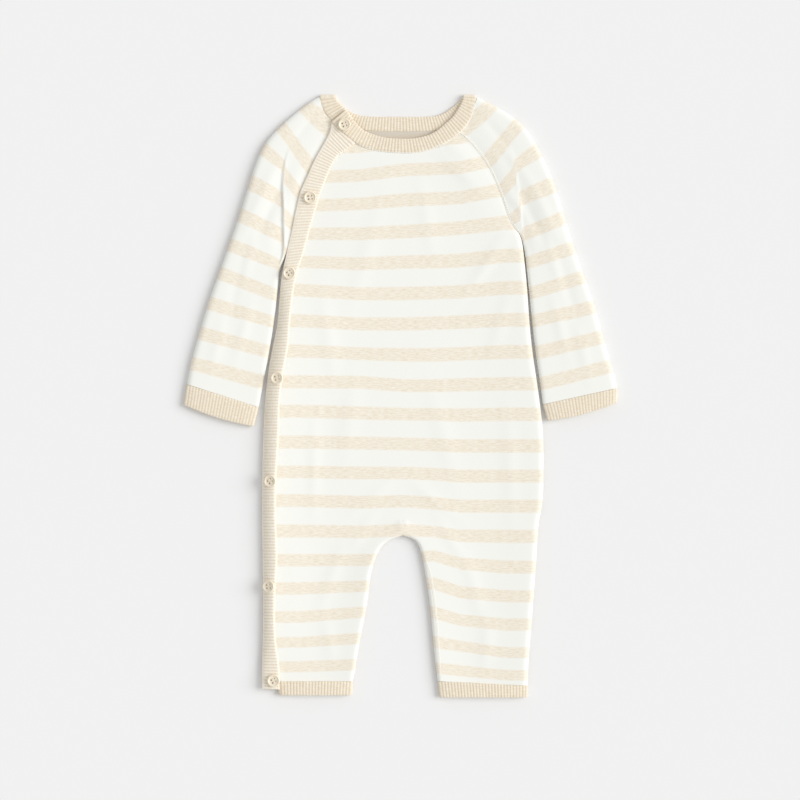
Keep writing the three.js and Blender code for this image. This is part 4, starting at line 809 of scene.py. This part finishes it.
# %% Neckband
# Columns, in mm: sewn edge x and y, free edge x and y, height of its middle.
NECKBAND = np.array([
    [-59.1, 233.3, -47.2, 243.5, 6.5],
    [-48.9, 223.9, -40.4, 234.1, 6.5],
    [-38.7, 215.9, -32.7, 226.5, 5.0],
    [-28.5, 211.2, -24.2, 222.7, 3.9],
    [-16.6, 208.7, -14.0, 219.9, 3.8],
    [-1.3, 207.5, -1.3, 218.9, 3.8],
    [13.2, 207.8, 10.6, 219.3, 3.8],
    [26.8, 210.8, 21.7, 221.8, 3.9],
    [36.1, 215.5, 29.7, 225.7, 4.0],
    [44.6, 221.0, 37.0, 231.6, 4.0],
    [52.3, 227.8, 42.9, 237.1, 4.0],
    [58.2, 237.1, 48.0, 244.4, 3.9],
    [61.6, 246.9, 51.0, 250.3, 3.7],
    [62.9, 254.0, 52.3, 254.4, 3.4],
    [62.9, 254.0, 52.3, 254.4, 1.0],
    [59.1, 246.1, 48.9, 250.6, 1.0],
    [50.6, 236.7, 42.5, 245.2, 1.0],
    [39.5, 229.1, 33.6, 239.7, 1.0],
    [24.2, 226.1, 21.7, 237.6, 1.0],
    [-1.3, 225.7, -1.3, 237.6, 1.0],
    [-25.1, 226.1, -23.4, 237.6, 1.0],
    [-42.1, 228.6, -37.0, 239.3, 1.0],
    [-54.8, 235.4, -46.3, 243.9, 1.0],
    [-64.2, 243.9, -52.7, 249.9, 1.0],
    [-68.6, 254.0, -55.9, 254.2, 1.0],
    [-68.6, 254.0, -55.9, 254.2, 3.4],
    [-67.6, 248.2, -54.4, 251.0, 3.7],
    [-64.2, 241.0, -51.5, 247.6, 3.8],
    [-58.2, 234.2, -46.4, 243.1, 3.8],
    [-50.6, 226.6, -40.9, 235.6, 3.8],
]) * MM
LEFT_FOLD, RIGHT_FOLD = 13, 24  # the rows where the strip folds over
FOLD_STEPS = 13
NECK_COLUMNS = 6


def neckband_net():
    """The middle of the strip, and which way up its ribs show on each row."""
    stretches = [(0, LEFT_FOLD), (LEFT_FOLD + 1, RIGHT_FOLD), (RIGHT_FOLD + 1, len(NECKBAND) - 1)]
    edges, facing = [], []
    for number, (first, last) in enumerate(stretches):
        table = NECKBAND[first : last + 1]
        rows = evenly(lambda row: read(table, row)[:, 0:2], last - first)
        edges.append(read(table, rows))
        facing.append(np.full(len(rows), -1 if number == 1 else 1))
        if number < 2:
            turn = np.linspace(0, math.pi, FOLD_STEPS)[1:-1]
            start, end = NECKBAND[last], NECKBAND[last + 1]
            half = abs(start[4] - end[4]) / 2
            share = (1 - np.cos(turn))[:, None] / 2
            fold = start + (end - start) * share
            fold[:, [1, 3]] += (half * np.sin(turn))[:, None]
            edges.append(fold)
            facing.append(np.zeros(len(turn)))
    table, facing = np.concatenate(edges), np.concatenate(facing)
    sewn, free, z = table[:, 0:2], table[:, 2:4], table[:, 4]
    across = np.linspace(0, 1, NECK_COLUMNS)[None, :, None]
    plan = sewn[:, None] * (1 - across) + free[:, None] * across
    level = np.repeat(z[:, None], NECK_COLUMNS, axis=1)[..., None]
    return np.concatenate([plan, level], axis=2), facing


neck_net, neck_facing = neckband_net()
neckband = ribbed_band("ribbed_neckband", neck_net, BAND_THICK, ribs=(neck_facing > 0, neck_facing < 0),
                       reach=(2 * SEAM_REACH, 0))

# %% [markdown]
# ## Cuffs and leg hems
# A cuff is a short ribbed tube, pressed flat. Its section is a flat oval between the underarm and the
# outer fold, and the tube runs from the seam to its open end.

# %% Flat tubes
KNIT_THICK = 1.8 * MM
SEAM = 0.05 * MM
FLATNESS = 3.2  # how square the oval's ends are: 2 is an ellipse
TUBE_COLUMNS = 7
OVAL_STEPS = 4001
RIBS_FROM, RIBS_WHOLE = -0.6, 0.2  # heights in the oval, from -1 to 1; the underside lies flat on the floor


def flat_tube(name, seam_line, open_line, top, height, bow):
    """A ribbed tube, pressed flat. A line is inner x, inner y, fold x, fold y in mm."""
    seam_line, open_line = (np.array(line) * MM for line in (seam_line, open_line))
    width = np.linalg.norm(seam_line[2:] - seam_line[:2])
    turn = np.linspace(0, math.tau, OVAL_STEPS)
    share = (1 - np.sign(np.cos(turn)) * np.abs(np.cos(turn)) ** (2 / FLATNESS)) / 2
    lift = np.sign(np.sin(turn)) * np.abs(np.sin(turn)) ** (2 / FLATNESS)
    length = np.concatenate([[0], np.cumsum(np.hypot(np.diff(share) * width, np.diff(lift) * top * MM / 2))])
    even = np.linspace(length[0], length[-1], round(length[-1] / RIB_STEP), endpoint=False)
    share, lift = np.interp(even, length, share), np.interp(even, length, lift)
    level = (top * MM + KNIT_THICK / 2) / 2 + lift * (top * MM - KNIT_THICK / 2) / 2
    inset = KNIT_THICK / 2 / width
    share = inset + share * (1 - 2 * inset)
    rings = [line[:2] + (line[2:] - line[:2]) * share[:, None] for line in (seam_line, open_line)]
    down = unit((open_line[:2] - seam_line[:2] + open_line[2:] - seam_line[2:]) / 2)
    ends = rings[1] + down * (bow * MM * np.sin(np.pi * share))[:, None]
    t = np.linspace(0, 1, TUBE_COLUMNS)[None, :, None]
    plan = (rings[0] + down * SEAM)[:, None] * (1 - t) + ends[:, None] * t
    net = np.concatenate([plan, np.repeat(level[:, None], TUBE_COLUMNS, axis=1)[..., None]], axis=2)
    if seam_line[2] > seam_line[0]:
        net = net[:, ::-1]
    shown = smoothstep(lift, RIBS_FROM, RIBS_WHOLE)
    return ribbed_band(name, net, KNIT_THICK, height * MM, closed=True, ribbed_rows=shown)


# Columns: name, line at the seam, line at the open end, height, height of the ribs, bow of the open end.
TUBES = [
    ("left_ribbed_cuff", [120.0, -6.6, 183.0, 7.2], [124.0, -20.6, 182.4, -5.6], 5.0, 0.3, 2.2),
    ("right_ribbed_cuff", [-121.2, -9.0, -182.3, 10.6], [-125.4, -25.6, -184.8, -7.3], 5.0, 0.3, 2.0),
    ("left_ribbed_hem", [30.8, -241.6, 106.9, -245.2], [32.6, -255.4, 106.7, -255.5], 4.6, 0.4, 0),
    ("right_ribbed_hem", [-41.2, -241.6, -104.4, -241.6], [-42.2, -253.6, -103.9, -253.6], 4.6, 0.4, 0),
]
left_cuff, right_cuff, left_hem, right_hem = [flat_tube(*row) for row in TUBES]

# %% [markdown]
# ## Buttons
# The buttons are cast polyester resin, turned with a raised rim and a dished middle, and drilled with four
# holes. Polishing leaves them smooth, with a clear even gloss, and light goes a little way into them. A
# profile is turned round an axis as on a lathe, and Boolean modifiers drill the holes.

# %% Cream resin
RESIN_LIGHT, RESIN_DARK = "f6ecda", "ecdfc6"
CLOUD_SCALE = 260.0  # clouds in the casting, about 4 mm across


def resin():
    """Cast polyester resin, polished."""
    material, tree, shader = new_material("cream_cast_resin", Roughness=0.32, IOR=1.55, Subsurface_Weight=0.1,
                                          Subsurface_Radius=(0.002, 0.0015, 0.001))
    place = add(tree, "ShaderNodeTexCoord").outputs["Object"]
    cloud = add(tree, "ShaderNodeTexNoise", {"Vector": place, "Scale": CLOUD_SCALE, "Detail": 2.0})
    tint = add(tree, "ShaderNodeMix", {"Factor": cloud.outputs["Fac"], "A": linear(RESIN_LIGHT),
                                       "B": linear(RESIN_DARK)}, data_type="RGBA")
    tree.links.new(tint.outputs["Result"], shader.inputs["Base Color"])
    return material


cream_resin = resin()
print("button material:", cream_resin.name)

# %% A turned and drilled button
# Profiles are radius and height in mm, from the middle of the underside to the middle of the top.
BUTTON_PROFILE = [(0, 0), (4.3, 0), (5.0, 0.35), (5.35, 0.9), (5.4, 1.3), (5.3, 1.8), (5.0, 2.15),
                  (4.7, 2.28), (4.4, 2.26), (4.1, 2.05), (3.8, 1.78), (3.4, 1.64), (2.6, 1.6), (0, 1.6)]
DRILL_PROFILE = [(0, -1), (0.75, -1), (0.75, 4), (0, 4)]
BUTTON_SIDES, DRILL_SIDES = 48, 16
HOLE_PLACE = 1.35 * MM  # from the button's middle to a hole's, in x and in y


def lathe(name, profile, segments):
    """Turns a profile, radius and height in mm, round the Z axis; both ends lie on the axis."""
    ring = np.radians(np.linspace(0, 360, segments, endpoint=False))
    inside = profile[1:-1]
    verts = [(r * math.cos(a) * MM, r * math.sin(a) * MM, z * MM) for r, z in inside for a in ring]
    bottom, top = len(verts), len(verts) + 1
    verts += [(0, 0, profile[0][1] * MM), (0, 0, profile[-1][1] * MM)]
    faces = [(i * segments + j, i * segments + (j + 1) % segments, (i + 1) * segments + (j + 1) % segments,
              (i + 1) * segments + j) for i in range(len(inside) - 1) for j in range(segments)]
    last = (len(inside) - 1) * segments
    faces += [(bottom, (j + 1) % segments, j) for j in range(segments)]
    faces += [(top, last + j, last + (j + 1) % segments) for j in range(segments)]
    mesh = bpy.data.meshes.new(name)
    mesh.from_pydata(verts, [], faces)
    return put_in_scene(name, mesh)


def drilled_button():
    """The turned button with its four holes cut through."""
    button = lathe("button", BUTTON_PROFILE, BUTTON_SIDES)
    tools = []
    for x, y in [(1, 1), (1, -1), (-1, 1), (-1, -1)]:
        tool = lathe("drill", DRILL_PROFILE, DRILL_SIDES)
        tool.data.transform(Matrix.Translation((x * HOLE_PLACE, y * HOLE_PLACE, 0)))
        cut = button.modifiers.new("hole", "BOOLEAN")
        cut.object, cut.operation, cut.solver = tool, "DIFFERENCE", "EXACT"
        tools.append(tool)
    made = evaluated(button, "drilled_button")
    for tool in tools:
        bpy.data.objects.remove(tool)
    smooth_shaded(made.data, 45)
    return made


one_button = drilled_button()
print("a button has", len(one_button.data.polygons), "faces")

# %% Button thread
THREAD_RADIUS, THREAD_SPREAD = 0.3 * MM, 1.5  # a strand lies spread out to this many times its height
THREAD_RINGS, THREAD_SIDES = 9, 8
THREAD_PAST = 1.02  # how far past the middle of its holes a strand reaches
THREAD_LEVEL, THREAD_BOW = 1.75 * MM, 0.28 * MM  # height over the holes, and how much more in the middle
THREAD_SINK, SINK_FROM, SINK_OVER = 1.2 * MM, 0.7, 0.3  # how deep its ends sink, from where, and over what


def button_thread():
    """Two strands of thread, each over two holes, sunk into them at both ends."""
    strands = bpy.data.meshes.new("thread")
    with reshaping(strands) as shaped:
        for y in (-HOLE_PLACE, HOLE_PLACE):
            rings = []
            for t in np.linspace(-1, 1, THREAD_RINGS):
                sunk = THREAD_SINK * max(abs(t) - SINK_FROM, 0) / SINK_OVER
                x = t * HOLE_PLACE * THREAD_PAST
                z = THREAD_LEVEL + THREAD_BOW * (1 - t**2) - sunk
                rings.append([shaped.verts.new((x, y + THREAD_RADIUS * THREAD_SPREAD * math.cos(a),
                                                z + THREAD_RADIUS * math.sin(a)))
                              for a in np.radians(np.linspace(0, 360, THREAD_SIDES, endpoint=False))])
            for above, below in zip(rings, rings[1:]):
                for j in range(THREAD_SIDES):
                    k = (j + 1) % THREAD_SIDES
                    shaped.faces.new((above[j], above[k], below[k], below[j]))
            shaped.faces.new(rings[0])
            shaped.faces.new(list(reversed(rings[-1])))
        bmesh.ops.recalc_face_normals(shaped, faces=shaped.faces)
    smooth_shaded(strands, 70)
    return put_in_scene("thread", strands)


one_thread = button_thread()
print("a button's thread has", len(one_thread.data.polygons), "faces")

# %% [markdown]
# ## Setting a piece on many points
# The seven buttons, their threads and the hundreds of seam stitches are all copies of one piece. A node tree
# sets a copy on each point and turns it with the point's own normal and direction, which is quicker to
# change than as many separate objects. The copies are made real at the end, so that they are one mesh.

# %% The setting tree
def setting_tree():
    """Sets a piece on each point, turned to the point's facing and lead."""
    tree = geometry_tree("set_on_points", {"Piece": "Object", "Finish": "Material"})
    given = add(tree, "NodeGroupInput").outputs
    piece = add(tree, "GeometryNodeObjectInfo", {"Object": given["Piece"]})
    facing = add(tree, "GeometryNodeInputNamedAttribute", {"Name": "facing"}, data_type="FLOAT_VECTOR")
    lead = add(tree, "GeometryNodeInputNamedAttribute", {"Name": "lead"}, data_type="FLOAT_VECTOR")
    turned = add(tree, "FunctionNodeAxesToRotation", {"Primary Axis": facing.outputs[0],
                                                      "Secondary Axis": lead.outputs[0]})
    copies = add(tree, "GeometryNodeInstanceOnPoints", {"Points": given["Geometry"],
                                                        "Instance": piece.outputs["Geometry"],
                                                        "Rotation": turned.outputs[0]})
    whole = add(tree, "GeometryNodeRealizeInstances", {"Geometry": copies.outputs[0]})
    dyed = add(tree, "GeometryNodeSetMaterial", {"Geometry": whole.outputs[0], "Material": given["Finish"]})
    add(tree, "NodeGroupOutput", {0: dyed.outputs[0]})
    return tree


set_on_points = setting_tree()
print("setting tree:", len(set_on_points.nodes), "nodes")


def place_all(piece, places, name, finish):
    """Sets copies of a piece at (point, facing, lead) places, as one mesh."""
    points, facing, lead = (np.array(column, float) for column in zip(*places))
    mesh = bpy.data.meshes.new(name + "_points")
    mesh.from_pydata(points.tolist(), [], [])
    set_attribute(mesh, "facing", "FLOAT_VECTOR", facing)
    set_attribute(mesh, "lead", "FLOAT_VECTOR", lead)
    holder = put_in_scene(name + "_points", mesh)
    made = with_tree(holder, set_on_points, name, Piece=piece, Finish=finish)
    bpy.data.objects.remove(piece)
    return made


# %% Set the seven buttons
NECK_BUTTON = (0.70, 0.38)  # row of the neckband, and its place across
# Rows of the placket, and places across it from the sewn edge.
BUTTONS = [(5.28, 0.31), (8.92, 0.365), (13.2, 0.21), (16.02, 0.25), (18.64, 0.33), (21.62, 0.23)]
BUTTON_TURNS = [20, 8, 35, 12, 40, 5, 28]  # each sewn on at its own turn, in degrees
BUTTON_OFF = BAND_THICK / 2 + 0.75 * MM  # from the band's middle, over its ribs, to the button's underside


def button_places():
    """A point, the way it faces and the way it is turned, for each button from the neck down."""
    row = read(NECKBAND[: LEFT_FOLD + 1], NECK_BUTTON[0])
    middle = row[0:2] * (1 - NECK_BUTTON[1]) + row[2:4] * NECK_BUTTON[1]
    spots = [(np.array([*middle, row[4] + BUTTON_OFF]), np.array([0.0, 0.0, 1.0]))]
    spots += [placket_at(row, across, BUTTON_OFF) for row, across in BUTTONS]
    places = []
    for (point, normal), degrees in zip(spots, BUTTON_TURNS):
        a = math.radians(degrees)
        places.append((point, normal, (math.cos(a), math.sin(a), 0)))
    return places


buttons = place_all(one_button, button_places(), "resin_buttons", cream_resin)
threads = place_all(one_thread, button_places(), "button_threads", heather_rib)
print("buttons:", len(buttons.data.polygons), "faces; threads:", len(threads.data.polygons))

# %% [markdown]
# ## Linked seams
# Knitted pieces are linked: a chain of stitches joins them loop by loop and stands up a little on the face.
# One stitch is a pair of leaning loops of yarn. Rays cast down on the cloth find the height of the seam, and
# the same node tree that set the buttons sets the stitches along it.

# %% Seam lines
STITCH_STEP = 1.45  # mm from one stitch to the next
SEAM_FINE = 60  # places looked at for each point of a seam
CAST_FROM = 50 * MM  # rays start above all the cloth
LOWEST_SEAM = 2 * MM  # below it, the ray has missed the top layer
STEEPEST = 0.3  # the normal's height, below which a seam is out of sight


def seam_line(points):
    """Evenly spaced places along a line of x, y in mm, and the directions there."""
    points = np.array(points, float)
    fine = read(points, np.linspace(0, len(points) - 1, SEAM_FINE * len(points)))
    length = length_along(fine)
    spots = np.linspace(0, length[-1], round(length[-1] / STITCH_STEP))
    line = np.stack([np.interp(spots, length, fine[:, k]) for k in (0, 1)], axis=1)
    return line, unit(np.gradient(line, axis=0))


def cast_down(trees, x, y):
    """The highest place on the cloth at x, y, and its normal."""
    hits = [tree.ray_cast(Vector((x, y, CAST_FROM)), Vector((0, 0, -1))) for tree in trees]
    hits = [(hit[0].z, hit[1]) for hit in hits if hit[0]]
    return max(hits, key=lambda hit: hit[0]) if hits else None


def seam_places(points, cloths, beside=1.2):
    """Places for stitches: on the cloth's face between two casts, each this many mm beside the seam."""
    trees = [BVHTree.FromObject(cloth, bpy.context.evaluated_depsgraph_get()) for cloth in cloths]
    places = []
    for (x, y), (run_x, run_y) in zip(*seam_line(points)):
        sides = [cast_down(trees, (x - run_y * d) * MM, (y + run_x * d) * MM) for d in (-beside, beside)]
        sides = [side for side in sides if side]
        if len(sides) < 2 or sides[0][0] + sides[1][0] < 2 * LOWEST_SEAM:
            continue
        z = sum(side[0] for side in sides) / 2
        normal = (sides[0][1] + sides[1][1]).normalized()
        if normal.z > STEEPEST:
            places.append(((x * MM, y * MM, z), tuple(normal), (run_x, run_y, 0)))
    return places


# %% One stitch
LOOP_SIZE = (1.1 * MM, 0.42 * MM, 0.4 * MM, 1)  # half its length, width and height
LOOP_APART, LOOP_SUNK = 0.42 * MM, 0.12 * MM
LOOP_LEAN = 0.5  # radians
ACROSS_FACES = Vector((1, 0.7, 0.3))  # a slant along which no two faces of the stitch lie level


def linked_stitch():
    """Two loops of yarn that lean together."""
    mesh = bpy.data.meshes.new("stitch")
    with reshaping(mesh) as shaped:
        for side in (-1, 1):
            place = Matrix.Translation((0, side * LOOP_APART, -LOOP_SUNK))
            place = place @ Matrix.Rotation(side * LOOP_LEAN, 4, "Z") @ Matrix.Diagonal(LOOP_SIZE)
            bmesh.ops.create_uvsphere(shaped, u_segments=8, v_segments=6, radius=1.0, matrix=place)
        # A sphere's faces come in an order that changes from run to run, so they are put in one order.
        shaped.faces.sort(key=lambda face: face.calc_center_median().dot(ACROSS_FACES))
        for face in shaped.faces:
            face.smooth = True
    return put_in_scene("stitch", mesh)


one_stitch = linked_stitch()
print("a stitch has", len(one_stitch.data.polygons), "faces")

# %% Set the stitches
LEFT_INSEAM = [(12.6, -122.6), (16.2, -130.0), (20.2, -139.0), (24.2, -150.0), (26.8, -164.5), (28.8, -180.6),
               (31.0, -207.0), (32.7, -240.5)]
left_raglan = read(LEFT_SLEEVE_ROWS, np.linspace(0.05, 4.7, 12))[:, 0:2]
seams = seam_places(left_raglan, [front, left_sleeve])
seams += seam_places(LEFT_INSEAM, [front])
seams += seam_places(PLACKET[1:, 2:4] / MM, [front, placket])
seams += seam_places(NECKBAND[1:LEFT_FOLD, 0:2] / MM, [front, neckband, left_sleeve])
stitches = place_all(one_stitch, seams, "linked_stitches", linking_yarn)
print(len(seams), "stitches,", len(stitches.data.polygons), "faces")

# %% [markdown]
# ## What each piece stands for
# Every dressed piece takes the place of its imported solid and rides on the romper's one body. The table
# lists the size that each cloth piece was cut to, tubes all the way round.

# %% Ride and replace
PIECES = [
    # piece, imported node, slot, cut width and length in m, share of that rectangle, what it lies on
    (front, "front_panel", "striped_knit", (0.235, 0.475), 0.78, ["back_jersey"]),
    (back, "back_panel", "striped_knit", (0.240, 0.480), 0.78, ["floor"]),
    (left_sleeve, "left_sleeve", "striped_knit", (0.135, 0.265), 0.74, ["floor"]),
    (right_sleeve, "right_sleeve", "striped_knit", (0.135, 0.265), 0.74, ["floor"]),
    (left_cuff, "left_cuff", "ribbed_knit", (0.125, 0.0165), 0.96, ["floor"]),
    (right_cuff, "right_cuff", "ribbed_knit", (0.127, 0.0205), 0.96, ["floor"]),
    (left_hem, "left_leg_hem", "ribbed_knit", (0.150, 0.0137), 0.96, ["floor"]),
    (right_hem, "right_leg_hem", "ribbed_knit", (0.125, 0.0137), 0.96, ["floor"]),
    (neckband, "neckband", "ribbed_knit", (0.310, 0.0150), 0.97, ["back_jersey", "front_jersey"]),
    (placket, "button_placket", "ribbed_knit", (0.490, 0.0165), 0.97, ["under_band"]),
    (stand, "button_stand", "ribbed_knit", (0.490, 0.0100), 0.74, ["back_jersey"]),
]
for piece, node, slot, flat, share, under in PIECES:
    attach(piece, "root")
    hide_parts(node)
for piece, slot in [(buttons, "buttons"), (threads, "ribbed_knit"), (stitches, "striped_knit")]:
    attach(piece, "root")
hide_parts(*[f"button_{number}" for number in range(1, len(BUTTON_TURNS) + 1)])

# %% [markdown]
# ## Floor, light and camera
# The romper is photographed from straight above on a pale floor. A soft window light comes in low from the
# right and gives the shadows at its left edges, and a pale surrounding light fills the rest.

# %% Floor
FLOOR_GREY = "f1f1f1"
FLOOR_HALF = 4  # metres
FLOOR_LEVEL = -0.2 * MM  # just below the cloth, so that the two faces don't coincide
corners = [(x * FLOOR_HALF, y * FLOOR_HALF, FLOOR_LEVEL) for x, y in [(-1, -1), (1, -1), (1, 1), (-1, 1)]]
floor_mesh = bpy.data.meshes.new("floor")
floor_mesh.from_pydata(corners, [], [(0, 1, 2, 3)])
paper = new_material("matt_paper", Base_Color=linear(FLOOR_GREY), Roughness=1.0, Specular_IOR_Level=0.0)[0]
floor_mesh.materials.append(paper)
floor = put_in_scene("floor", floor_mesh)
print("floor", 2 * FLOOR_HALF, "m wide")

# %% Light
SURROUND = 0.64  # strength of the white light from all round
WINDOW_STRENGTH = 2.0
WINDOW_WIDE = math.radians(40)  # a wide window, so that shadows fade out softly
TO_WINDOW = Vector((1.0, 0.14, 0.7))  # from the right, and a little above the horizon

world = bpy.data.worlds.new("studio")
scene.world = world
world.use_nodes = True
world.node_tree.nodes["Background"].inputs["Color"].default_value = (1, 1, 1, 1)
world.node_tree.nodes["Background"].inputs["Strength"].default_value = SURROUND

window_light = bpy.data.lights.new("window_light", "SUN")
window_light.energy = WINDOW_STRENGTH
window_light.angle = WINDOW_WIDE
window = put_in_scene("window_light", window_light)
window.rotation_euler = (-TO_WINDOW).to_track_quat("-Z", "Y").to_euler()
scene.view_settings.view_transform = "Standard"
print("window light at", round(math.degrees(math.atan2(TO_WINDOW.z, TO_WINDOW.xy.length))), "degrees up")

# %% Camera
HALF_PHOTO = 400 * MM_PER_PIXEL  # mm
PHOTO_CENTRE = Vector((PHOTO_LEFT + HALF_PHOTO, PHOTO_TOP - HALF_PHOTO, 0)) * MM
CAMERA_HEIGHT = 3.0  # metres
SENSOR = 36  # mm
camera_data = bpy.data.cameras.new("overhead")
camera_data.sensor_width = SENSOR
camera_data.lens = SENSOR * CAMERA_HEIGHT / (2 * HALF_PHOTO * MM)
camera_data.clip_start, camera_data.clip_end = 0.1, 20
camera = put_in_scene("overhead", camera_data)
camera.location = PHOTO_CENTRE + Vector((0, 0, CAMERA_HEIGHT))
scene.camera = camera
print("lens", round(camera_data.lens, 1), "mm")
